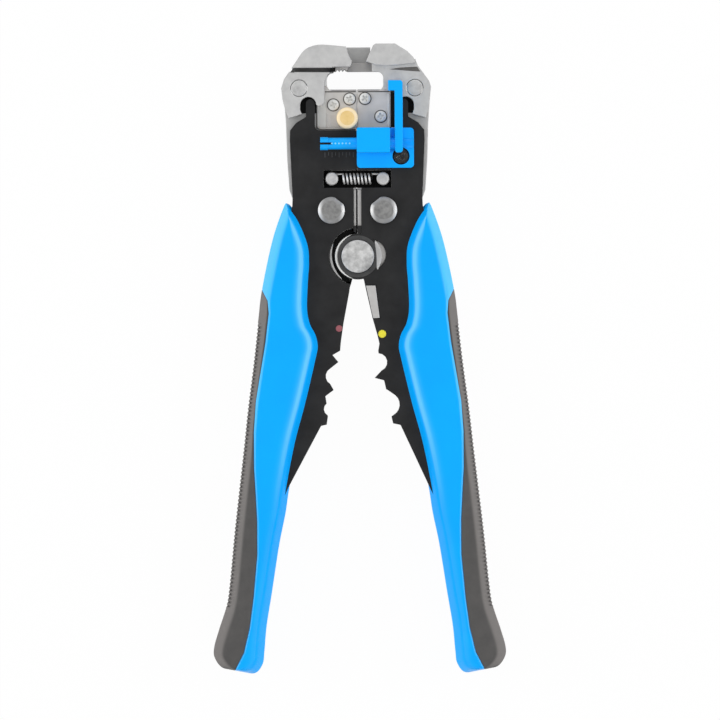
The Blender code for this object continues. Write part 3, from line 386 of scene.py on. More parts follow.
class GroupKit:
    """The shader node groups that several finishes share."""

    def __init__(self) -> None:
        """Build every group once."""
        self.rubbed_and_lit_edges = self._edge_wear()
        self.grain = self._grain()
        self.flanks = self._flanks()

    @staticmethod
    def _start(name: str, inputs: dict[str, float], outputs: dict[str, str]) -> tuple[Graph, bpy.types.Node]:
        """Make an empty group with its sockets and return its graph and its input node."""
        tree = bpy.data.node_groups.new(name, "ShaderNodeTree")
        for label, value in inputs.items():
            socket = tree.interface.new_socket(label, in_out="INPUT", socket_type="NodeSocketFloat")
            socket.default_value = value
        for label, kind in outputs.items():
            tree.interface.new_socket(label, in_out="OUTPUT", socket_type=kind)
        graph = Graph(tree)
        return graph, tree.nodes.new("NodeGroupInput")

    @staticmethod
    def _end(graph: Graph, **outputs: bpy.types.NodeSocket) -> bpy.types.NodeTree:
        """Link the group's outputs and return its tree."""
        last = graph.tree.nodes.new("NodeGroupOutput")
        for label, socket in outputs.items():
            graph.tree.links.new(socket, last.inputs[label])
        return graph.tree

    def _edge_wear(self) -> bpy.types.NodeTree:
        """Mask of the edges, lightened for rubbed metal and for a painted highlight, and the normal of a
        slightly rounded edge.
        """
        graph, given = self._start("edge_wear", {"Radius": 0.0003, "Break": 900.0},
                                   {"Mask": "NodeSocketFloat", "Rounded": "NodeSocketVector"})
        rounded = graph.add("Bevel", {"samples": 4}, Radius=given.outputs["Radius"]).outputs[0]
        plain = graph.add("NewGeometry").outputs["Normal"]
        alike = graph.add("VectorMath", {"operation": "DOT_PRODUCT"}, at_0=rounded, at_1=plain)
        edge = graph.ramp(alike.outputs["Value"], 0.995, 0.86)
        broken = graph.ramp(graph.noise(given.outputs["Break"], 3.0), 0.35, 0.6)
        mask = graph.math("MULTIPLY", edge, broken, clamp=True)
        return self._end(graph, Mask=mask, Rounded=rounded)

    def _grain(self) -> bpy.types.NodeTree:
        """Fine grain for the height of a bump, and a coarse cloud for colour and gloss."""
        graph, given = self._start("grain", {"Fine": 3000.0, "Coarse": 250.0},
                                   {"Height": "NodeSocketFloat", "Cloud": "NodeSocketFloat"})
        fine = graph.noise(given.outputs["Fine"], 2.0)
        coarse = graph.noise(given.outputs["Coarse"], 4.0, 0.6)
        return self._end(graph, Height=fine, Cloud=graph.ramp(coarse, 0.3, 0.7))

    def _flanks(self) -> bpy.types.NodeTree:
        """Masks of the flanks that face away from the tool's middle plane, or towards it, where light and
        shade are painted.

        Outer and Inner cover the steep flanks, and Shoulder the band between the top and the inner one,
        which fades out down the handles.
        """
        masks = dict.fromkeys(("Outer", "Inner", "Shoulder"), "NodeSocketFloat")
        graph, _ = self._start("flanks", {}, masks)
        where = graph.add("SeparateXYZ", Vector=graph.add("TexCoord").outputs["Object"])
        normal = graph.add("SeparateXYZ", Vector=graph.add("NewGeometry").outputs["Normal"])
        outward = graph.math("MULTIPLY", graph.math("SIGN", where.outputs["X"]), normal.outputs["X"])
        outer = graph.ramp(outward, 0.25, 0.8, smooth=True)
        inner = graph.ramp(outward, -0.25, -0.8, smooth=True)
        leaning = graph.ramp(outward, -0.03, -0.2, smooth=True)
        steep = graph.ramp(outward, -0.35, -0.65, 1.0, 0.0, smooth=True)
        upper = graph.ramp(where.outputs["Y"], -0.055, -0.01, 0.12, smooth=True)
        shoulder = graph.math("MULTIPLY", graph.math("MULTIPLY", leaning, steep), upper)
        return self._end(graph, Outer=outer, Inner=inner, Shoulder=shoulder)


@dataclass(frozen=True)
class Finish:
    """Surface of one material: its colours, gloss, grain, edges lightened for rubbed metal and a painted
    highlight, and painted light and shade on its flanks.
    """

    name: str
    dark: Triple
    light: Triple
    rough_low: float
    rough_high: float
    metallic: float = 0.0
    specular: float = 0.5
    grain_fine: float = 3000.0
    grain_coarse: float = 250.0
    grain_depth: float = 0.00002
    # Edge colour and how far it reaches: rubbed metal, and a painted highlight along the edges.
    edge: Triple | None = None
    edge_share: float = 0.6
    edge_radius: float = 0.0003
    edge_break: float = 900.0
    # Tints on the outer and inner flanks and on the shoulder by the way they face: painted light and shade,
    # and a painted highlight on the shoulder.
    outer_flank_painted_light: Triple | None = None
    inner_flank_painted_light: Triple | None = None
    shoulder_painted_highlight: Triple | None = None

    def material(self, kit: GroupKit) -> bpy.types.Material:
        """Build the material.

        Args:
            kit: The shared shader node groups.

        Returns:
            The new material.
        """
        material = bpy.data.materials.new(self.name)
        material.use_nodes = True
        graph = Graph(material.node_tree)
        shader = material.node_tree.nodes["Principled BSDF"]
        shader.inputs["Metallic"].default_value = self.metallic
        shader.inputs["Specular IOR Level"].default_value = self.specular
        grain = graph.add("Group", {"node_tree": kit.grain}, Fine=self.grain_fine, Coarse=self.grain_coarse)
        colour = graph.mix(grain.outputs["Cloud"], (*self.dark, 1.0), (*self.light, 1.0))
        flanks = graph.add("Group", {"node_tree": kit.flanks})
        # Painted light and shade on each flank, and the painted highlight on the shoulder.
        for label, tint in (("Outer", self.outer_flank_painted_light), ("Inner", self.inner_flank_painted_light),
                            ("Shoulder", self.shoulder_painted_highlight)):
            if tint is not None:
                colour = graph.mix(flanks.outputs[label], colour, (*tint, 1.0))
        rubbed_and_lit_edges = graph.add("Group", {"node_tree": kit.rubbed_and_lit_edges}, Radius=self.edge_radius, Break=self.edge_break)
        # Edge colour: partly rubbed metal, partly a painted highlight along the edges.
        if self.edge is not None:
            share = graph.math("MULTIPLY", rubbed_and_lit_edges.outputs["Mask"], self.edge_share)
            colour = graph.mix(share, colour, (*self.edge, 1.0))
        gloss = graph.ramp(grain.outputs["Cloud"], 0.0, 1.0, self.rough_low, self.rough_high)
        bump = graph.add("Bump", Strength=1.0, Distance=self.grain_depth, Height=grain.outputs["Height"],
                         Normal=rubbed_and_lit_edges.outputs["Rounded"])
        links = {"Base Color": colour, "Roughness": gloss, "Normal": bump.outputs[0]}
        for label, socket in links.items():
            material.node_tree.links.new(socket, shader.inputs[label])
        return material


def grey(level: float) -> Triple:
    """Neutral colour of one level."""
    return (level, level, level)


# Edge colours lighten the edges: partly rubbed metal, partly a painted highlight.
FINISHES = (
    Finish("black_steel", (0.011, 0.011, 0.0115), (0.021, 0.021, 0.0215), 0.42, 0.55, specular=0.15,
           grain_coarse=120.0, grain_depth=0.00001, edge=grey(0.11), edge_share=0.4, edge_radius=0.00025),
    Finish("cast_silver", grey(0.42), (0.51, 0.51, 0.505), 0.48, 0.6, metallic=0.2, grain_fine=1800.0,
           grain_coarse=350.0, grain_depth=0.00003, edge=grey(0.7), edge_share=0.5, edge_radius=0.0004,
           edge_break=300.0),
    Finish("plate_steel", (0.58, 0.56, 0.54), (0.65, 0.63, 0.61), 0.55, 0.65, metallic=0.1, specular=0.3,
           grain_fine=2400.0, grain_coarse=300.0, grain_depth=0.00001, edge=(0.85, 0.85, 0.84),
           edge_break=200.0),
    Finish("ground_steel", (0.42, 0.41, 0.40), (0.47, 0.46, 0.45), 0.55, 0.65, metallic=0.1, specular=0.3,
           grain_fine=2400.0, grain_coarse=300.0, grain_depth=0.00001, edge=(0.75, 0.75, 0.74),
           edge_break=200.0),
    # Pale steel: the plate screws' own colour, and painted highlights on the ear's rim and the jaw plates'
    # edges.
    Finish("pale_steel", (0.68, 0.68, 0.66), (0.74, 0.74, 0.72), 0.5, 0.6, metallic=0.1, specular=0.3,
           grain_coarse=300.0, grain_depth=0.000005),
    Finish("hammered_steel", grey(0.25), (0.62, 0.62, 0.615), 0.36, 0.5, metallic=0.3, grain_fine=1200.0,
           grain_coarse=420.0, grain_depth=0.00003, edge=grey(0.8), edge_radius=0.0006, edge_break=200.0),
    Finish("worn_steel", grey(0.36), (0.52, 0.52, 0.515), 0.36, 0.5, metallic=0.3, grain_fine=1600.0,
           grain_coarse=500.0, grain_depth=0.000015, edge=grey(0.85), edge_share=0.9, edge_radius=0.0004,
           edge_break=200.0),
    Finish("bright_steel", grey(0.46), (0.66, 0.66, 0.65), 0.25, 0.42, metallic=0.5, grain_fine=2200.0,
           grain_coarse=700.0, grain_depth=0.00001, edge=grey(0.92), edge_break=200.0),
    # Rivet rim: dark steel with a painted highlight on the faces that turn left and right.
    Finish("rivet_rim", grey(0.20), grey(0.27), 0.4, 0.5, metallic=0.2, grain_coarse=500.0,
           grain_depth=0.00001, outer_flank_painted_light=(0.86, 0.86, 0.85), inner_flank_painted_light=(0.86, 0.86, 0.85)),
    Finish("rivet_face", grey(0.13), (0.26, 0.26, 0.255), 0.4, 0.55, metallic=0.3, grain_fine=1500.0,
           grain_coarse=650.0),
    Finish("spring_steel", grey(0.5), grey(0.7), 0.3, 0.4, metallic=0.5, grain_depth=0.000005),
    Finish("brass", (0.70, 0.48, 0.17), (0.86, 0.64, 0.32), 0.45, 0.55, metallic=0.15, specular=0.3,
           grain_coarse=220.0, grain_depth=0.000006),
    # Pale brass of the knob: its near white edge colour is a painted highlight on the rim.
    Finish("pale_brass", (0.84, 0.66, 0.40), (0.92, 0.76, 0.50), 0.4, 0.5, metallic=0.15, specular=0.3,
           grain_coarse=200.0, grain_depth=0.000006, edge=(1.0, 0.93, 0.78), edge_share=0.9,
           edge_radius=0.0006, edge_break=100.0),
    # Blue shell: the paler outer flanks are painted light and the paler shoulder band is a painted highlight.
    Finish("blue_plastic", (0.0, 0.37, 0.97), (0.0, 0.40, 1.0), 0.28, 0.36, specular=0.15,
           grain_fine=2500.0, grain_coarse=60.0, grain_depth=0.000004, outer_flank_painted_light=(0.07, 0.52, 1.0),
           inner_flank_painted_light=(0.0, 0.40, 1.0), shoulder_painted_highlight=(0.13, 0.56, 1.0)),
    Finish("light_blue", (0.20, 0.62, 1.0), (0.28, 0.68, 1.0), 0.3, 0.4, specular=0.2, grain_depth=0.000004),
    # Grey pad: the lighter outer flank is painted light.
    Finish("grey_rubber", (0.066, 0.064, 0.063), (0.085, 0.082, 0.08), 0.6, 0.75, specular=0.25,
           grain_fine=3500.0, grain_coarse=200.0, grain_depth=0.00003, outer_flank_painted_light=(0.165, 0.155, 0.15)),
    Finish("black_screw", grey(0.006), grey(0.012), 0.3, 0.4, specular=0.3, edge=grey(0.5), edge_share=1.0,
           edge_radius=0.0002),
    # Grey black for the ring on the ear, and for the painted shade in the left slit.
    Finish("worn_black", grey(0.045), grey(0.075), 0.45, 0.6, specular=0.2, grain_coarse=200.0,
           grain_depth=0.00001),
    # Near black for painted shade in recesses, gaps, the spring window, the notches and round the stop screw.
    Finish("dark_recess", grey(0.004), grey(0.008), 0.6, 0.7, specular=0.1),
    # Dark grey for painted shade in the seams round the plate screws, under the mouth and on the right cheek.
    Finish("oiled_seam", (0.09, 0.085, 0.08), (0.13, 0.125, 0.12), 0.6, 0.7, specular=0.15),
    Finish("faded_print", (0.045, 0.045, 0.046), (0.085, 0.085, 0.086), 0.5, 0.6, specular=0.2),
    Finish("red_enamel", (0.28, 0.09, 0.105), (0.32, 0.105, 0.12), 0.4, 0.5, specular=0.2),
    Finish("yellow_enamel", (0.72, 0.64, 0.04), (0.80, 0.71, 0.06), 0.4, 0.5, specular=0.2),
)


@dataclass
class Workshop:
    """What every sub-assembly needs: the frame of the solids and the finished materials."""

    frame: dict
    materials: dict[str, bpy.types.Material] = field(default_factory=dict)
    weld: float = 1e-6
    flat_angle: float = math.radians(0.5)
    sharp_angle: float = math.radians(30)
    bevel_angle: float = math.radians(32)

    def mix_finishes(self) -> None:
        """Build every finish once."""
        kit = GroupKit()
        self.materials = {finish.name: finish.material(kit) for finish in FINISHES}

    def dress(self, piece: bpy.types.Object, finish: str, body: str, *nodes: str) -> bpy.types.Object:
        """Give a new piece its finish and body.

        Args:
            piece: The finished piece, in place.
            finish: Name of its finish.
            body: Body that it moves with.
            nodes: Solids that it stands for.

        Returns:
            The piece.
        """
        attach(piece, body)
        return self._finished(piece, finish, body, *nodes)

    def dress_between(self, piece: bpy.types.Object, finish: str, bodies: tuple[str, str], reach: np.ndarray,
                      *nodes: str) -> bpy.types.Object:
        """Give a piece that stretches between two bodies its finish.

        Args:
            piece: The finished piece, in place.
            finish: Name of its finish.
            bodies: The two bodies.
            reach: Two points, in millimetres, between the two bodies. Not used.
            nodes: Solids that it stands for.

        Returns:
            The piece.
        """
        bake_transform(piece)
        return self._finished(piece, finish, " and ".join(bodies), *nodes)

    def _finished(self, piece: bpy.types.Object, finish: str, place: str, *nodes: str) -> bpy.types.Object:
        """Set a piece's material and slot, and the solids that it stands for."""
        piece.data.materials.clear()
        piece.data.materials.append(self.materials[finish])
        if nodes:
            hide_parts(*nodes)
        LOG.info("%s: %s on %s", piece.name, finish, place)
        return piece

    def edged_copy(self, node: str, finish: str, body: str, width: float,
                   segments: int = 2) -> bpy.types.Object:
        """Copy a solid with merged points and bevelled edges, in place of the solid.

        Args:
            node: Name of the solid.
            finish: Name of its finish.
            body: Body that it moves with.
            width: Width of the bevel in millimetres.
            segments: Faces across the bevel.

        Returns:
            The new piece.
        """
        mesh = self.frame["nodes"][node].data.copy()
        with edited(mesh) as form:
            bmesh.ops.remove_doubles(form, verts=form.verts, dist=self.weld)
            bmesh.ops.dissolve_limit(form, angle_limit=self.flat_angle, verts=form.verts, edges=form.edges)
        mesh.shade_smooth()
        mesh.set_sharp_from_angle(angle=self.sharp_angle)
        piece = in_scene(node + "_edged", mesh)
        bevel = piece.modifiers.new("edges", "BEVEL")
        bevel.width = width * MM
        bevel.segments = segments
        bevel.limit_method = "ANGLE"
        bevel.angle_limit = self.bevel_angle
        bevel.harden_normals = True
        return self.dress(piece, finish, body, node)

    def dress_solids(self) -> None:
        """Give every solid that is still shown the finish of its slot."""
        for entry in self.frame["record"]["subparts"]:
            piece = self.frame["nodes"][entry["node"]]
            if not piece.hide_render:
                piece.data.materials.clear()
                piece.data.materials.append(self.materials[entry["material_slot"]])
                LOG.info("%s: solid in %s", piece.name, entry["material_slot"])


# Sub-assemblies


@dataclass
class Lever:
    """One lever: its plates and die core, the marks on its plate and the cast edges in its gaps."""

    side: Side
    dot_place: Pair
    dot_radius: float
    dot_finish: str
    strip: Rect
    foot: Rect
    edge: float = 0.22
    plate_face: float = 6.3
    cast_span: Pair = (4.35, 5.7)
    patch_span: Pair = (5.0, 6.35)
    dot_height: float = 0.08
    channel_radii: Pair = (7.62, 9.2)
    channel_heights: Pair = (4.31, 4.34)
    channel_span: Pair = (96.0, 250.0)
    face_radii: Pair = (5.42, 6.85)
    tick_count: int = 9
    tick_pitch: float = 1.15
    tick_start: float = 10.6
    tick_top: float = 33.9
    tick_lengths: Pair = (1.7, 1.1)
    tick_width: float = 0.22
    tick_height: float = 0.03
    rim_span: Pair = (105.0, 258.0)
    rim_radius: float = 7.36
    rim_width: float = 0.75
    rim_steps: int = 90

    def build(self, shop: Workshop) -> None:
        """Bevel the steel pieces and add the dot, the scale, the ear's rings with their painted shade and
        highlights, and the bright cast edges.

        Args:
            shop: The workshop.
        """
        word, body = self.side.word, self.side.word + "_lever"
        for part in ("front_plate", "rear_plate", "die_core"):
            shop.edged_copy("%s_%s" % (word, part), "black_steel", body, self.edge)
        r, face, top = self.dot_radius, self.plate_face, self.plate_face + self.dot_height
        profile = [(0.0, face), (r, face), (r - 0.05, top - 0.02), (r - 0.2, top), (0.0, top)]
        shop.dress(turned_piece(word + "_paint_dot", profile, self.dot_place, 40), self.dot_finish, body)
        if self.side is Side.LEFT:
            self._left_ear(shop, body)
        else:
            self._right_ear(shop, body)
        low, high = self.cast_span
        for part, plan, top, finish in (("strip", self.strip, high, "ground_steel"),
                                        ("foot", self.foot, face - 0.1, "black_steel")):
            shop.dress(flat_piece("%s_slit_%s" % (word, part), box(*plan), low, top), finish, body)

    def _left_ear(self, shop: Workshop, body: str) -> None:
        """Scale on the plate, bright cast crescent left of the ear and painted shade in the channel inside
        it.
        """
        shop.dress(self._scale(), "faded_print", body)
        crescent = self._crescent("left_cast_crescent", radius=9.12, width=0.75, span=(152.0, 236.0),
                                  heights=self.cast_span)
        shop.dress(crescent, "cast_silver", body)
        # Near black sheet in the channel round the ear: painted shade.
        channel = ring_piece("left_ear_channel", self.channel_radii, self.channel_heights, (0.0, 0.0))
        shop.dress(self._sector(channel, *self.channel_span), "dark_recess", body)

    def _right_ear(self, shop: Workshop, body: str) -> None:
        """Painted highlight on the rim of the ear, the grey ring on it, the cast crescent beside it and a
        silver patch that is a painted highlight on it.
        """
        # Painted highlight along the ear's left rim.
        shop.dress(self._ear_rim(), "pale_steel", body)
        levels = (self.plate_face - 0.05, self.plate_face + 0.04)
        shop.dress(ring_piece("right_ear_face", self.face_radii, levels, (0.0, 0.0)), "worn_black", body)
        plan = np.vstack([arc((0.0, 0.0), radius=7.46, start=40.0, end=-26.0, count=24),
                          arc((4.2, 0.6), radius=4.88, start=-51.0, end=62.0, count=30)])
        shop.dress(flat_piece("right_cast_crescent", plan, *self.cast_span), "ground_steel", body)
        # Silver crescent that stands for the bright arc of light on the ear: a painted highlight.
        patch = self._crescent("right_ear_patch", radius=7.75, width=1.7, span=(-34.0, 42.0),
                               heights=self.patch_span)
        shop.dress(patch, "cast_silver", body)

    @staticmethod
    def _crescent(name: str, radius: float, width: float, span: Pair, heights: Pair) -> bpy.types.Object:
        """Crescent along an arc: its width is that of the middle times the root of the sine of its share."""
        share = np.linspace(0.0, 1.0, 40)
        inset = width * np.sin(math.pi * share) ** 0.5
        angle = np.radians(span[0] + (span[1] - span[0]) * share)
        aim = np.stack([np.cos(angle), np.sin(angle)], axis=1)
        plan = np.vstack([radius * aim, ((radius - inset)[:, None] * aim)[-2:0:-1]])
        return flat_piece(name, plan, *heights)

    @staticmethod
    def _sector(ring: bpy.types.Object, start: float, end: float) -> bpy.types.Object:
        """Keep the part of a ring round the pivot between two angles, and close its ends."""
        with edited(ring.data) as form:
            for angle, sign in ((math.radians(start), -1.0), (math.radians(end), 1.0)):
                across = (-sign * math.sin(angle), sign * math.cos(angle), 0.0)
                everything = form.verts[:] + form.edges[:] + form.faces[:]
                cut = bmesh.ops.bisect_plane(form, geom=everything, plane_no=across, clear_outer=True,
                                             plane_co=(0.0, PIVOT_Y * MM, MID_Z * MM))
                rim = [part for part in cut["geom_cut"] if isinstance(part, bmesh.types.BMEdge)]
                bmesh.ops.holes_fill(form, edges=rim)
        return ring

    def _scale(self) -> bpy.types.Object:
        """Printed scale under the stop's rod: a tick each pitch, every other one longer, as thin blocks."""
        number = np.arange(self.tick_count)
        left = number * self.tick_pitch - self.tick_start
        long = np.where(number % 2 == 0, *self.tick_lengths)
        corners = np.vstack([np.insert(box(0.0, 1.0, 0.0, 1.0), 2, z, axis=1) for z in (0.0, 1.0)])
        level = np.ones_like(left)
        size = np.stack([self.tick_width * level, -long, self.tick_height * level], axis=1)
        foot = np.stack([left, self.tick_top * level, self.plate_face * level], axis=1)
        points = foot[:, None, :] + corners[None] * size[:, None, :]
        sides = np.array([(0, 3, 2, 1), (4, 5, 6, 7), (0, 1, 5, 4), (1, 2, 6, 5), (2, 3, 7, 6), (3, 0, 4, 7)])
        faces = (sides[None] + 8 * number[:, None, None]).reshape(-1, 4)
        return mesh_of("left_stop_scale", points, faces)

    def _ear_rim(self) -> bpy.types.Object:
        """Painted highlight on the bevel at the left rim of the ear: a thin ring sector that tapers to both
        ends.
        """
        angle = np.radians(np.linspace(*self.rim_span, self.rim_steps))[:, None]
        fade = np.sin(np.linspace(0.0, math.pi, self.rim_steps))[:, None] ** 0.7
        level = 0 * angle
        inner = self.rim_radius - self.rim_width * fade
        r = np.concatenate([self.rim_radius + 0.06 + level, self.rim_radius + level, inner, inner], axis=1)
        z = self.plate_face + np.concatenate([level - 0.2, level, 0.05 * fade, level - 0.05], axis=1)
        points = np.stack([r * np.cos(angle), r * np.sin(angle), z], axis=-1)
        last = 4 * (self.rim_steps - 1)
        caps = [[3, 2, 1, 0], [last, last + 1, last + 2, last + 3]]
        faces = np.concatenate([sheet_faces(self.rim_steps, 4, False, True), caps])
        return mesh_of("right_ear_rim", points, faces)


@dataclass
class Grip:
    """Blue shell and grey ribbed pad of one handle."""

    side: Side
    outer: tuple[Pair, ...] = (
        (22.8, 17.3), (23.9, 16.4), (27.7, 5.4), (31.2, -10.7), (32.4, -20.0), (34.0, -34.0), (36.0, -49.4),
        (37.4, -62.1), (39.3, -78.4), (40.7, -90.8), (42.2, -106.1), (43.3, -113.5), (45.7, -121.0),
        (47.3, -126.6), (47.2, -130.1), (44.7, -133.4), (40.0, -134.2))
    inner: tuple[Pair, ...] = (
        (22.8, 17.3), (21.6, 16.4), (18.4, 11.7), (15.4, 4.1), (14.9, -2.2), (15.3, -8.2), (15.6, -16.6),
        (14.8, -21.4), (12.9, -25.3), (12.2, -29.2), (12.9, -33.2), (16.3, -47.5), (19.8, -60.5),
        (22.6, -74.5), (24.0, -83.5), (26.1, -93.8), (28.5, -109.0), (30.3, -120.0), (31.1, -128.5),
        (31.7, -132.5), (34.4, -135.3), (40.0, -134.2))
    seam: tuple[Pair, ...] = (
        (33.5, -6.3), (31.2, -10.7), (29.3, -14.4), (29.0, -18.5), (30.1, -27.9), (31.9, -38.5),
        (33.3, -47.0), (34.0, -57.0), (34.0, -68.6), (33.5, -77.7), (33.1, -85.7), (33.1, -96.6),
        (34.4, -110.7), (35.7, -120.5), (37.6, -128.5), (40.0, -133.2), (41.4, -136.0))
    half_depth: float = 10.0
    wall: float = 4.4
    flank: float = 2.15
    shoulder: float = 1.5
    crown: float = 0.5
    crown_round: float = 2.0
    crown_reach: float = 3.0
    seam_dip: float = 0.35
    seam_width: float = 0.35
    seam_rounds: int = 8
    rib_pitch: float = 1.3
    rib_depth: float = 1.5
    rib_start: float = -20.8
    rib_end: float = -115.0
    rib_fade: float = 2.0
    rib_place: float = 0.85
    rib_width: float = 0.6
    rib_inset: float = 0.3
    rib_inset_reach: float = 0.5
    line_points: int = 2600
    shell_grid: tuple[int, int] = (260, 34)
    pad_grid: tuple[int, int] = (980, 22)

    def _heights(self, ends: ArrayPair, across: np.ndarray) -> ArrayPair:
        """Distance from the rim and height of the points between the outer and the inner edge.

        The distance from an edge is the way to its end of the station, times the sine of the angle between
        the station and that edge. The height is the soft minimum of a steep flank and a crowned top.

        Args:
            ends: Points of the outer and the inner edge at each station, arrays (n, 2).
            across: Share of the way from the outer to the inner edge, array (n, m).

        Returns:
            Distance and height, arrays (n, m).
        """
        outer, inner = ends
        way = inner - outer
        width = np.linalg.norm(way, axis=1)
        unit = way / np.maximum(width, 1e-9)[:, None]
        reach = []
        for edge, share in ((outer, across), (inner, 1.0 - across)):
            along = np.gradient(edge, axis=0)
            along /= np.maximum(np.linalg.norm(along, axis=1), 1e-9)[:, None]
            slant = np.abs(unit[:, 0] * along[:, 1] - unit[:, 1] * along[:, 0])
            reach.append(share * (width * slant)[:, None])
        rim = np.minimum(*reach)
        middle = soft_min(*reach, self.crown_round)
        top = self.half_depth - self.crown * np.exp(-np.maximum(middle, 0.0) / self.crown_reach)
        return rim, soft_min(self.wall + self.flank * rim, top, self.shoulder)

    def _seam_share(self, outer: np.ndarray, inner: np.ndarray) -> np.ndarray:
        """Share of the way across each station at which it meets the seam, found by repeated reading."""
        seam = np.array(self.seam)[::-1]
        share = np.zeros(len(outer))
        for _ in range(self.seam_rounds):
            y = outer[:, 1] + share * (inner[:, 1] - outer[:, 1])
            x = np.interp(y, seam[:, 1], seam[:, 0])
            share = np.clip((outer[:, 0] - x) / np.maximum(outer[:, 0] - inner[:, 0], 1e-6), 0.0, 1.0)
        return share

    def _form(self, name: str, stations: np.ndarray, edges: ArrayPair, span: ArrayPair, columns: int,
              ribbed: bool) -> bpy.types.Object:
        """Closed skin over the stations, between two shares of the way across.

        The top is a grid of stations by shares, bunched at both edges as half of 1 - cos. The bottom is the
        same grid turned over, and the two meet in an upright wall. Ribs sink by a raised cosine of the
        length along the outer edge.

        Args:
            name: Name of the piece.
            stations: Length along the outer edge at each station.
            edges: Outer and inner edge at each station.
            span: First and last share across at each station.
            columns: Points across the top.
            ribbed: Whether the outer edge carries ribs.

        Returns:
            The new piece.
        """
        bunch = 0.5 - 0.5 * np.cos(np.linspace(0.0, math.pi, columns))
        across = span[0][:, None] + (span[1] - span[0])[:, None] * bunch
        outer, inner = edges
        rim, height = self._heights(edges, across)
        plan = outer[:, None, :] + across[..., None] * (inner - outer)[:, None, :]
        share = self._seam_share(outer, inner)[:, None]
        width = np.linalg.norm(inner - outer, axis=1)[:, None]
        from_seam = np.abs(across - share) * width
        height = height - (share > 0.0) * self.seam_dip * np.exp(-(from_seam / self.seam_width) ** 2)
        if ribbed:
            y, start, end, fade = outer[:, 1], self.rib_start, self.rib_end, self.rib_fade
            where = smooth_step(-y, -start, fade - start) * smooth_step(y, end, end + fade)
            groove = (0.5 - 0.5 * np.cos(math.tau * stations / self.rib_pitch)) ** 1.5 * where
            near = np.exp(-((rim - self.rib_place) / self.rib_width) ** 2)
            height = height - self.rib_depth * groove[:, None] * near
            inward = (inner - outer) / np.maximum(width, 1e-9)
            inset = self.rib_inset * (groove[:, None] * np.exp(-rim / self.rib_inset_reach))
            plan = plan + inset[..., None] * inward[:, None, :]
        x = plan[..., 0] * self.side.value
        top = np.stack([x, plan[..., 1], height], axis=-1)
        under = np.stack([x, plan[..., 1], -height], axis=-1)[:, ::-1]
        faces = sheet_faces(len(stations), 2 * columns, False, True)
        return mesh_of(name, np.concatenate([top, under], axis=1), faces)

    def build(self, shop: Workshop) -> None:
        """Make the shell and the pad.

        Args:
            shop: The workshop.
        """
        outer = spline(np.array(self.outer), self.line_points)
        inner = spline(np.array(self.inner), self.line_points)
        share = self._seam_share(outer, inner)
        run = np.concatenate([[0.0], np.cumsum(np.linalg.norm(np.diff(outer, axis=0), axis=1))])
        for part, (rows, columns), finish in (("shell", self.shell_grid, "blue_plastic"),
                                              ("pad", self.pad_grid, "grey_rubber")):
            pad = part == "pad"
            first = int(np.argmax(share > 0.0)) - 1 if pad else 0
            pick = np.linspace(first, len(outer) - 1, rows).round().astype(int)
            seam = share[pick]
            span = (np.zeros(rows), seam) if pad else (seam, np.ones(rows))
            name = "%s_grip_%s" % (self.side.word, part)
            piece = self._form(name + "_form", run[pick], (outer[pick], inner[pick]), span, columns, pad)
            shop.dress(piece, finish, self.side.word + "_lever", name)


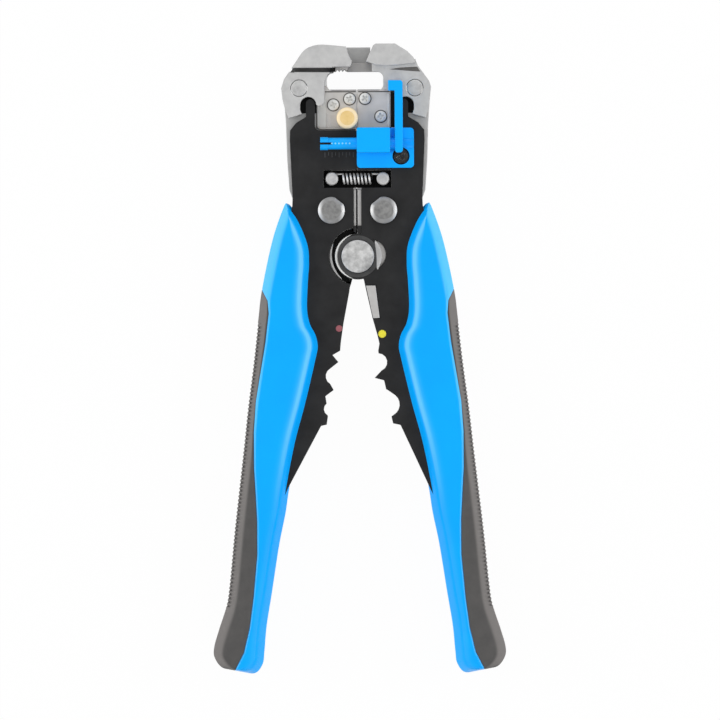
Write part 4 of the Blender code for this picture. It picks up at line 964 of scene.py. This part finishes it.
@dataclass
class Head:
    """Cast head halves, upper jaws, jaw plates and inserts."""

    cast_edge: float = 0.35
    plate_edge: float = 0.25
    insert_edge: float = 0.08
    inserts: tuple[tuple[str, str], ...] = (
        ("upper_gripping_jaw", "left_jaw"), ("lower_gripping_jaw", "left_head"),
        ("upper_stripping_blade", "right_jaw"), ("lower_stripping_blade", "right_head"))
    rib_box: Rect = (-9.9, -5.6, 42.0, 46.6)
    rib_count: int = 11
    rib_lift: float = 0.02
    rib_height: float = 0.08
    rib_columns: int = 8
    rib_rows: int = 12
    plate_face: float = 4.0
    cheek_face: float = 7.2
    slit_floor: float = 5.2
    window_floor: float = 1.22
    skin: float = 0.05
    window_reach: float = 10.9
    window_span: Pair = (22.4, 28.0)
    notch_span: Pair = (13.2, 18.45)
    notch_low: float = 46.6
    notch_top: float = 51.85
    rim_span: Pair = (53.93, 54.3)

    def build(self, shop: Workshop) -> None:
        """Bevel the castings, plates and inserts and add the flat pieces and the ribbed patch.

        Args:
            shop: The workshop.
        """
        for word in (side.word for side in Side):
            shop.edged_copy(word + "_head_body", "cast_silver", word + "_head", self.cast_edge)
            shop.edged_copy(word + "_upper_jaw", "cast_silver", word + "_jaw", self.cast_edge, 3)
            for face in ("front", "rear"):
                plate = "%s_%s_jaw_plate" % (word, face)
                shop.edged_copy(plate, "plate_steel", word + "_head", self.plate_edge)
        for insert, body in self.inserts:
            shop.edged_copy(insert, "ground_steel", body, self.insert_edge)
        for name, plan, heights, finish, body in self._flats():
            shop.dress(flat_piece(name, plan, *heights), finish, body)
        self._ribs(shop)

    def _notch(self, side: Side) -> np.ndarray:
        """Plan of the painted shade round the horn: as wide as the cheek's notch, with its round top."""
        low, high = self.notch_span
        radius = (high - low) / 2
        top = arc(((low + high) / 2, self.notch_top - radius), radius, 0.0, 180.0, 17)
        return np.vstack([[(high, self.notch_low)], top, [(low, self.notch_low)]]) * (side.value, 1.0)

    def _flats(self) -> list[tuple[str, np.ndarray, Pair, str, str]]:
        """The flat pieces: painted shade on floors and in gaps and slits, and painted highlights along the
        jaw plates' edges, as thin plates on their faces, then lips and rims.

        Returns:
            Name, plan, heights, finish and body of each.
        """
        # Plan of the painted highlight along the left jaw plate's edge.
        edge = np.array([(-12.9, 43.0), (-12.2, 42.1), (-10.1, 41.8), (-10.1, 53.3), (-10.7, 50.6),
                         (-12.2, 49.6), (-12.9, 48.7)])
        # Plans of the painted shade on the right cheek, at the slit's left end and of the lip.
        wedge = np.array([(10.6, 60.7), (17.6, 60.1), (20.6, 59.9), (19.6, 61.5), (14.0, 61.2)])
        lip = np.array([(-10.7, 55.2), (-9.75, 55.6), (-9.75, 58.0), (-9.5, 58.9), (-10.7, 58.6)])
        mouth = np.array([(-21.6, 59.8), (-20.3, 59.8), (-20.3, 61.2), (-20.75, 61.1)])
        floor, plate, slit, cheek = ((level, level + self.skin) for level in (
            self.window_floor, self.plate_face, self.slit_floor, self.cheek_face))
        left, right = "left_head", "right_head"
        split, rim = (1.0, self.plate_face - 0.15), (2.4, self.plate_face - 0.1)
        reach, window = self.window_reach, self.window_span
        return [
            # Near black sheets on the spring window's floors: painted shade.
            ("left_window_floor", box(-reach, -0.7, *window), floor, "dark_recess", left),
            ("right_window_floor", box(-0.65, reach, *window), floor, "dark_recess", right),
            ("left_notch_liner", self._notch(Side.LEFT), plate, "dark_recess", left),
            ("right_notch_liner", self._notch(Side.RIGHT), plate, "dark_recess", right),
            # Pale strips along the jaw plates' edges: painted highlights.
            ("left_plate_band", edge, plate, "pale_steel", left),
            ("right_plate_band", box(9.9, 10.5, 42.0, 52.9), plate, "pale_steel", right),
            # Painted shade under the mouth, by the right horn, in the left slit and on the right cheek.
            ("left_plate_shade", box(-10.4, -0.4, 53.4, 53.75), plate, "oiled_seam", left),
            ("right_plate_shade", box(0.4, 10.6, 53.4, 53.75), plate, "oiled_seam", right),
            ("right_gap_shade", box(11.05, 13.1, 42.0, 53.4), plate, "dark_recess", right),
            ("left_slit_shade", box(-20.35, -8.4, 59.6, 61.5), slit, "worn_black", "left_jaw"),
            ("left_slit_mouth", mouth, cheek, "worn_black", "left_jaw"),
            ("right_cheek_shade", wedge, cheek, "oiled_seam", "right_jaw"),
            ("left_mouth_lip", lip, (4.4, 7.0), "cast_silver", "left_jaw"),
            # Near black block in the slit's corner: painted shade.
            ("left_slit_corner", box(-8.7, -6.95, 60.0, 61.4), (4.4, 6.2), "dark_recess", "left_jaw"),
            ("right_plate_lip", box(-0.13, 0.15, 42.0, 54.25), split, "plate_steel", right),
            ("left_mouth_rim", box(-9.0, -0.2, *self.rim_span), rim, "ground_steel", left),
            ("right_mouth_rim", box(0.2, 8.0, *self.rim_span), rim, "ground_steel", right),
        ]

    def _ribs(self, shop: Workshop) -> None:
        """Patch of fine level ribs: its height is a raised cosine of Y, faded out at its rim."""
        left, right, low, high = self.rib_box
        x, y = np.meshgrid(np.linspace(left, right, self.rib_columns),
                           np.linspace(low, high, self.rib_rows * self.rib_count + 1))
        wave = 0.5 - 0.5 * np.cos(math.tau * self.rib_count * (y - low) / (high - low))
        inside = (x > left) & (x < right) & (y > low) & (y < high)
        lift = (self.rib_lift + self.rib_height * wave) * inside
        top = np.stack([x, y, self.plate_face + lift], axis=-1)
        rows, columns = x.shape
        base = top.copy()
        base[..., 2] = self.plate_face - self.skin
        caps = []
        for first in (0, (rows - 1) * 2 * columns):
            over = np.arange(columns) + first
            under = over[0] + 2 * columns - 1 - np.arange(columns)
            caps.append(np.stack([over[:-1], over[1:], under[1:], under[:-1]], axis=1))
        faces = np.concatenate([sheet_faces(rows, 2 * columns, False, True)] + caps)
        patch = mesh_of("ribbed_patch", np.concatenate([top, base[:, ::-1]], axis=1), faces)
        shop.dress(patch, "plate_steel", "left_head")


@dataclass
class CrossHeadScrew:
    """Screw with a domed head and a cross recess."""

    name: str
    place: Pair
    seat: float
    head_radius: float
    head_height: float
    turn: float
    shank_radius: float
    shank_end: float
    finish: str
    body: str
    dome: float = 0.45
    bar_half: float = 0.15
    bar_reach: float = 0.62
    bar_depth: float = 0.6

    def build(self, shop: Workshop) -> None:
        """Make the screw.

        The head is z = seat + height (1 - dome (r / R)^3), less a cross: two bars at right angles whose
        depth falls off with a steep smooth step at their sides and ends.

        Args:
            shop: The workshop.
        """
        radius, high = self.head_radius, self.head_height
        angle = circle(72)
        r = radius * np.linspace(0.0, 1.0, 30)
        x, y = r * np.cos(angle), r * np.sin(angle)
        turn = math.radians(self.turn)
        u = np.abs(x * math.cos(turn) + y * math.sin(turn))
        v = np.abs(y * math.cos(turn) - x * math.sin(turn))
        half, reach = self.bar_half * radius, self.bar_reach * radius
        bars = [(1 - smooth_step(a, half * 0.7, half * 1.3)) * (1 - smooth_step(b, reach * 0.8, reach))
                for a, b in ((u, v), (v, u))]
        dome = self.seat + high * (1.0 - self.dome * (r / radius) ** 3)
        top = dome - self.bar_depth * high * np.maximum(*bars)
        skirt = [(radius, self.seat), (self.shank_radius, self.seat), (self.shank_radius, self.shank_end),
                 (0.0, self.shank_end)]
        piece = headed_piece(self.name + "_cross_head", self.place, r, top, skirt)
        shop.dress(piece, self.finish, self.body, self.name)


@dataclass
class Fasteners:
    """Screws, pins, posts, rivets, pivot and the cutter blade."""

    seat: float = 6.5
    plate_screws: tuple[Triple, ...] = (
        (-7.7, 49.3, 20.0), (-2.4, 51.2, 65.0), (2.6, 51.35, 35.0), (7.7, 45.5, 10.0))
    # Radii and heights of the painted shade round the plate screws.
    seam_radii: Pair = (1.6, 2.12)
    seam_heights: Pair = (4.0, 4.06)
    stop_screw: Pair = (14.2, 32.5)
    # Radii and heights of the painted shade ring round the stop screw.
    shade_ring_radii: Pair = (2.4, 2.78)
    shade_ring_heights: Pair = (7.1, 7.9)
    rivet_place: Pair = (8.5, 15.0)
    rivet_radius: float = 4.35
    rivet_flat: float = 3.95
    rivet_head: float = 1.5
    rivet_lean: float = 52.0
    post_place: Pair = (8.3, 25.25)
    post_seat: float = 4.7
    pin_place: Pair = (18.8, 54.7)
    pin_face: float = 7.4
    pivot_radius: float = 5.3
    pivot_head: float = 2.0
    blade_edge: float = 0.12
    nut_edge: float = 0.3
    round_steps: int = 96

    def build(self, shop: Workshop) -> None:
        """Make every fastener.

        Args:
            shop: The workshop.
        """
        for number, (x, y, turn) in enumerate(self.plate_screws, start=1):
            body = "left_head" if x < 0 else "right_head"
            CrossHeadScrew("jaw_plate_screw_%d" % number, (x, y), seat=4.2, head_radius=1.8,
                           head_height=1.0, turn=turn, shank_radius=0.9, shank_end=-4.0,
                           finish="pale_steel", body=body).build(shop)
            # Dark ring round each screw head: painted shade in the seam.
            seam = ring_piece("jaw_plate_seam_%d" % number, self.seam_radii, self.seam_heights, (x, y))
            shop.dress(seam, "oiled_seam", body)
        CrossHeadScrew("stop_screw", self.stop_screw, seat=7.3, head_radius=2.3, head_height=0.8,
                       turn=30.0, shank_radius=1.2, shank_end=4.3, finish="black_screw",
                       body="right_lever").build(shop)
        # Near black ring round the stop screw's head: painted shade in the gap round it.
        shade_ring = ring_piece("stop_screw_sleeve", self.shade_ring_radii, self.shade_ring_heights, self.stop_screw)
        shop.dress(shade_ring, "dark_recess", "right_lever")
        for side in Side:
            self._rivet(shop, side)
            self._post(shop, side)
            self._pin(shop, side)
        self._pivot(shop)
        shop.edged_copy("cutter_blade", "ground_steel", "right_lever", self.blade_edge)
        shop.edged_copy("pivot_nut", "bright_steel", "right_lever", self.nut_edge)

    def _rivet(self, shop: Workshop, side: Side) -> None:
        """Large rivet with a wide bevel: a disc cut by one flat, R = min(r, flat / cos(a - lean))."""
        seat, head = self.seat, self.rivet_head
        lean = math.radians(self.rivet_lean if side is Side.LEFT else 180.0 - self.rivet_lean)
        facing = np.maximum(np.cos(circle(self.round_steps) - lean), 0.05)
        rim = np.minimum(self.rivet_radius, self.rivet_flat / facing)
        none, face = 0 * rim, seat + 0.93 * head
        place = (side.value * self.rivet_place[0], self.rivet_place[1])
        rings = [(none, face - 0.02), (0.66 * rim, face), (rim - 1.15, seat + head),
                 (rim - 0.45, seat + 0.8 * head), (rim, seat + 0.5 * head), (rim, seat), (none + 2.0, seat)]
        rings += [(r, -z) for r, z in rings[::-1]]
        reach = np.concatenate([r for r, _ in rings], axis=1)
        piece = round_piece(side.word + "_rivet_form", reach, np.array([z for _, z in rings]), place)
        # The rivet's rim gets a painted highlight on its left and right sides.
        shop.dress(piece, "rivet_rim", side.word + "_lever", side.word + "_stop_rivet")
        reach = np.concatenate([none, 0.69 * rim, 0.69 * rim, none], axis=1)
        disc = round_piece(side.word + "_rivet_face", reach, face + np.array([-0.1, -0.1, 0.05, 0.02]), place)
        shop.dress(disc, "rivet_face", side.word + "_lever")

    def _post(self, shop: Workshop, side: Side) -> None:
        """Post of the tension spring with a domed head."""
        seat = self.post_seat
        profile = [(0.0, -4.0), (1.2, -4.0), (1.2, seat), (2.1, seat), (2.1, seat + 0.9), (1.9, seat + 1.3),
                   (1.3, seat + 1.58), (0.5, seat + 1.6), (0.0, seat + 1.5)]
        place = (side.value * self.post_place[0], self.post_place[1])
        piece = turned_piece(side.word + "_post_form", profile, place, 48)
        shop.dress(piece, "worn_steel", side.word + "_head", side.word + "_spring_post")

    def _pin(self, shop: Workshop, side: Side) -> None:
        """Jaw pin with a rounded rim, a little above the cheeks."""
        face = self.pin_face
        profile = [(0.0, -7.2), (2.2, -7.2), (2.5, -6.9), (2.5, 5.0), (2.66, 5.2), (2.66, face - 0.4),
                   (2.5, face - 0.12), (2.1, face), (0.0, face)]
        place = (side.value * self.pin_place[0], self.pin_place[1])
        piece = turned_piece(side.word + "_pin_form", profile, place, 56)
        shop.dress(piece, "worn_steel", side.word + "_head", side.word + "_jaw_pin")

    def _pivot(self, shop: Workshop) -> None:
        """Bolt of the main pivot: a broad head with a hammered, slightly domed top.

        The top is z = seat + height (1 - 0.2 (r / R)^6) plus a sum of three sine waves in X and Y.
        """
        seat, radius = self.seat, self.pivot_radius
        r = radius * np.linspace(0.0, 1.0, 36)
        angle = circle(self.round_steps)
        x, y = r * np.cos(angle), r * np.sin(angle)
        hammered = np.sin(1.9 * x + 0.4) * np.sin(1.6 * y + 1.1) + 0.6 * np.sin(2.9 * x - 2.3 * y)
        dome = seat + self.pivot_head * (1.0 - 0.2 * (r / radius) ** 6)
        top = dome + 0.06 * hammered * (1 - (r / radius) ** 4)
        skirt = [(radius, seat), (3.0, seat), (3.0, -8.9), (0.0, -8.9)]
        piece = headed_piece("pivot_bolt_form", (0.0, 0.0), r, top, skirt)
        shop.dress(piece, "hammered_steel", "right_lever", "pivot_bolt")


@dataclass
class AdjustingKnob:
    """Brass knob with a knurled side, a rim with a painted highlight and a dished face."""

    place: Pair = (-3.2, 44.9)
    radius: float = 3.5
    foot: float = 4.2
    height: float = 4.8
    stem_radius: float = 1.4
    stem_end: float = -1.5
    knurls: int = 40
    knurl_depth: float = 0.09

    def build(self, shop: Workshop) -> None:
        """Make the knob: the radius of its side waves as a cosine of the angle, faded at both rims.

        Args:
            shop: The workshop.
        """
        top = self.foot + self.height
        r = self.radius
        profile = np.array([
            (0.0, self.stem_end, 0), (self.stem_radius, self.stem_end, 0), (self.stem_radius, self.foot, 0),
            (r - 0.5, self.foot, 0), (r - 0.1, self.foot + 0.45, 0), (r - 0.05, self.foot + 0.8, 1),
            (r - 0.05, top - 1.0, 1), (r, top - 0.7, 0), (r, top - 0.45, 0), (r - 0.25, top - 0.12, 0),
            (r - 0.6, top, 0), (r - 0.95, top - 0.03, 0), (r - 1.3, top - 0.16, 0), (r - 1.7, top - 0.26, 0),
            (0.8, top - 0.3, 0), (0.0, top - 0.3, 0)])
        angle = circle(self.knurls * 6)
        reach = profile[:, 0] - self.knurl_depth * profile[:, 2] * (1.0 + np.cos(self.knurls * angle))
        piece = round_piece("adjusting_knob_form", reach, profile[:, 1], self.place)
        shop.dress(piece, "pale_brass", "knob", "adjusting_knob")
        dish = [(0.0, top - 0.4), (r - 1.15, top - 0.4), (r - 1.15, top - 0.1), (r - 1.6, top - 0.19),
                (0.8, top - 0.24), (0.0, top - 0.24)]
        shop.dress(turned_piece("adjusting_knob_dish", dish, self.place), "brass", "knob")


@dataclass
class TensionSpring:
    """Coil between the two posts, with an open hook at each end."""

    post: Pair = (8.3, 25.25)
    hook_radius: float = 1.9
    hook_bend: Pair = (-100.0, 130.0)
    coil_radius: float = 1.6
    wire_radius: float = 0.32
    wire_sides: int = 12
    slant: Triple = (0.31, 0.17, 0.94)
    core_radius: float = 1.0
    core_gap: float = 0.02
    core_sides: int = 24
    turns: int = 8
    pitch: float = 1.2
    height: float = 4.0

    def build(self, shop: Workshop) -> None:
        """Carry a round profile along the wire's path, square to its tangent.

        The profile's first axis is the cross product of the tangent and one fixed slanted direction,
        and its second axis is the cross product of the first axis and the tangent.

        Args:
            shop: The workshop.
        """
        half = self.turns * self.pitch / 2
        t = np.linspace(0.0, 1.0, 48 * self.turns)
        turn = math.tau * self.turns * t
        coil = np.stack([-half + 2 * half * t, self.post[1] + self.coil_radius * np.cos(turn),
                         self.height + self.coil_radius * np.sin(turn)], axis=1)
        hook = np.insert(arc(self.post, self.hook_radius, *self.hook_bend, 30), 2, self.height, axis=1)
        path = np.concatenate([hook * np.array([-1.0, 1.0, 1.0]), coil, hook[::-1]])
        along = np.gradient(path, axis=0)
        along /= np.linalg.norm(along, axis=1)[:, None]
        out = np.cross(along, np.array(self.slant))
        out /= np.linalg.norm(out, axis=1)[:, None]
        up = np.cross(out, along)
        a = circle(self.wire_sides)[None]
        ring = path[:, None] + self.wire_radius * (np.cos(a) * out[:, None] + np.sin(a) * up[:, None])
        ends = np.repeat(path[[0, -1], None], self.wire_sides, axis=1)
        points = np.concatenate([ends[:1], ring, ends[1:]])
        faces = sheet_faces(len(points), self.wire_sides, False, True)
        reach = np.array([(x, self.post[1], self.height) for x in (-half, half)])
        shop.dress_between(mesh_of("tension_spring_form", points, faces), "spring_steel",
                           ("left_head", "right_head"), reach, "tension_spring")
        self._core(shop, half)

    def _core(self, shop: Workshop, half: float) -> None:
        """Dark shade inside the coil, with a half of it on each head."""
        turn = circle(self.core_sides)
        r = self.core_radius * np.array([0.0, 1.0, 1.0, 0.0])
        faces = sheet_faces(self.core_sides, 4, True, False)
        for side in Side:
            x = side.value * np.array([self.core_gap, self.core_gap, half, half]) + 0 * turn
            core = np.stack([x, self.post[1] + r * np.cos(turn), self.height + r * np.sin(turn)], axis=-1)
            piece = mesh_of(side.word + "_spring_core_shade", core, faces)
            shop.dress(piece, "dark_recess", side.word + "_head")


@dataclass
class LengthStop:
    """Blue bracket with a bored boss, and the slider with a row of marks along its rod."""

    rod_y: float = 36.6
    rod_top: float = 11.2
    mark_left: float = -8.2
    mark_pitch: float = 1.15
    marks: int = 6
    mark_radius: float = 0.3
    edge: float = 0.3
    slider_edge: float = 0.24

    def build(self, shop: Workshop) -> None:
        """Bevel bracket and slider and add the marks: low discs at even steps along the rod's top.

        Args:
            shop: The workshop.
        """
        shop.edged_copy("stop_bracket", "blue_plastic", "right_lever", self.edge, 3)
        shop.edged_copy("stop_slider", "blue_plastic", "slider", self.slider_edge, 3)
        r, top = self.mark_radius, self.rod_top
        profile = [(0.0, top - 0.2), (r, top - 0.2), (r, top), (0.5 * r, top + 0.06), (0.0, top + 0.06)]
        for number in range(self.marks):
            place = (self.mark_left + number * self.mark_pitch, self.rod_y)
            mark = turned_piece("rod_mark_%d" % (number + 1), profile, place, 20)
            shop.dress(mark, "light_blue", "slider")


@dataclass
class Studio:
    """Pale floor, soft lamps, white surroundings and the camera."""

    lens: float = 400.0
    sensor: float = 36.0
    view_width: float = 0.234
    aim: Triple = (0.00054, -0.0005, 0.0145)
    roll: float = -0.3
    fill: float = 0.62
    floor_half: float = 3.0
    floor_drop: float = 0.0003
    floor_grey: float = 0.82
    floor_white: float = 0.97
    lamps: tuple[tuple[str, Triple, float, float], ...] = (
        ("left", (-0.75, 0.05, 0.40), 0.4, 2.85), ("right", (0.75, 0.05, 0.40), 0.4, 2.85),
        ("head", (0.0, 0.8, 0.5), 0.6, 1.4), ("foot", (0.0, -0.8, 0.5), 0.6, 1.05))

    def build(self) -> None:
        """Set up everything round the object."""
        scene = bpy.context.scene
        scene.view_settings.view_transform = "Standard"
        self._world(scene)
        self._floor()
        for name, place, size, power in self.lamps:
            self._lamp(name, place, size, power)
        camera = bpy.data.cameras.new("camera")
        camera.lens = self.lens
        camera.sensor_width = self.sensor
        far = self.view_width / (self.sensor / self.lens)
        camera.clip_end = 10.0
        holder = bpy.data.objects.new("camera", camera)
        holder.location = (self.aim[0], self.aim[1], self.aim[2] + far)
        holder.rotation_euler = (0.0, 0.0, math.radians(self.roll))
        scene.collection.objects.link(holder)
        scene.camera = holder

    @staticmethod
    def _white_for_view(graph: Graph) -> bpy.types.NodeSocket:
        """Mask of the rays that should see plain white: camera, glossy and transmission rays."""
        path = graph.add("LightPath")
        seen = graph.math("MAXIMUM", path.outputs["Is Camera Ray"], path.outputs["Is Transmission Ray"])
        return graph.math("MAXIMUM", seen, path.outputs["Is Glossy Ray"])

    def _world(self, scene: bpy.types.Scene) -> None:
        """White behind the object, and an even pale light on it."""
        world = bpy.data.worlds.new("surroundings")
        world.use_nodes = True
        graph = Graph(world.node_tree)
        strength = graph.ramp(self._white_for_view(graph), 0.0, 1.0, self.fill, 1.0)
        back = world.node_tree.nodes["Background"]
        back.inputs["Color"].default_value = (1.0, 1.0, 1.0, 1.0)
        world.node_tree.links.new(strength, back.inputs["Strength"])
        scene.world = world

    def _floor(self) -> None:
        """Pale floor that fades to plain white for the camera and keeps a soft shadow."""
        half = self.floor_half
        corners = np.insert(box(-half, half, -half, half), 2, -self.floor_drop, axis=1)
        mesh = bpy.data.meshes.new("floor")
        mesh.from_pydata(corners.tolist(), [], [(0, 1, 2, 3)])
        floor = in_scene("floor", mesh)
        material = bpy.data.materials.new("pale_floor")
        material.use_nodes = True
        graph = Graph(material.node_tree)
        shader = material.node_tree.nodes["Principled BSDF"]
        shader.inputs["Base Color"].default_value = (*grey(self.floor_grey), 1.0)
        shader.inputs["Roughness"].default_value = 0.9
        white = graph.add("Emission", Color=(1.0, 1.0, 1.0, 1.0), Strength=1.0)
        share = graph.math("MULTIPLY", self._white_for_view(graph), self.floor_white)
        both = graph.add("MixShader", Fac=share, at_1=shader.outputs[0], at_2=white.outputs[0])
        out = material.node_tree.nodes["Material Output"]
        material.node_tree.links.new(both.outputs[0], out.inputs["Surface"])
        mesh.materials.append(material)

    @staticmethod
    def _lamp(name: str, place: Triple, size: float, power: float) -> None:
        """Square softbox at a place, facing the object."""
        lamp = bpy.data.lights.new(name + "_softbox", "AREA")
        lamp.size = size
        lamp.energy = power
        holder = bpy.data.objects.new(name + "_softbox", lamp)
        holder.location = place
        x, y, z = place
        holder.rotation_euler = (math.atan2(math.hypot(x, y), z), 0.0, math.atan2(x, -y))
        bpy.context.scene.collection.objects.link(holder)


def main() -> None:
    """Load the solids, dress them and build the studio."""
    logging.basicConfig(level=logging.INFO, format="%(name)s %(message)s")
    shop = Workshop(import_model())
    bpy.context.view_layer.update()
    shop.mix_finishes()
    Lever(Side.LEFT, dot_place=(-6.2, -23.4), dot_radius=1.1, dot_finish="red_enamel",
          strip=(-1.22, -0.5, 10.0, 21.6), foot=(-1.25, -0.45, 7.9, 9.95)).build(shop)
    Lever(Side.RIGHT, dot_place=(7.8, -25.2), dot_radius=1.3, dot_finish="yellow_enamel",
          strip=(0.08, 1.22, 10.0, 21.6), foot=(0.05, 1.25, 7.45, 9.95)).build(shop)
    for side in Side:
        Grip(side).build(shop)
    Head().build(shop)
    Fasteners().build(shop)
    AdjustingKnob().build(shop)
    TensionSpring().build(shop)
    LengthStop().build(shop)
    shop.dress_solids()
    Studio().build()


if __name__ == "__main__":
    main()
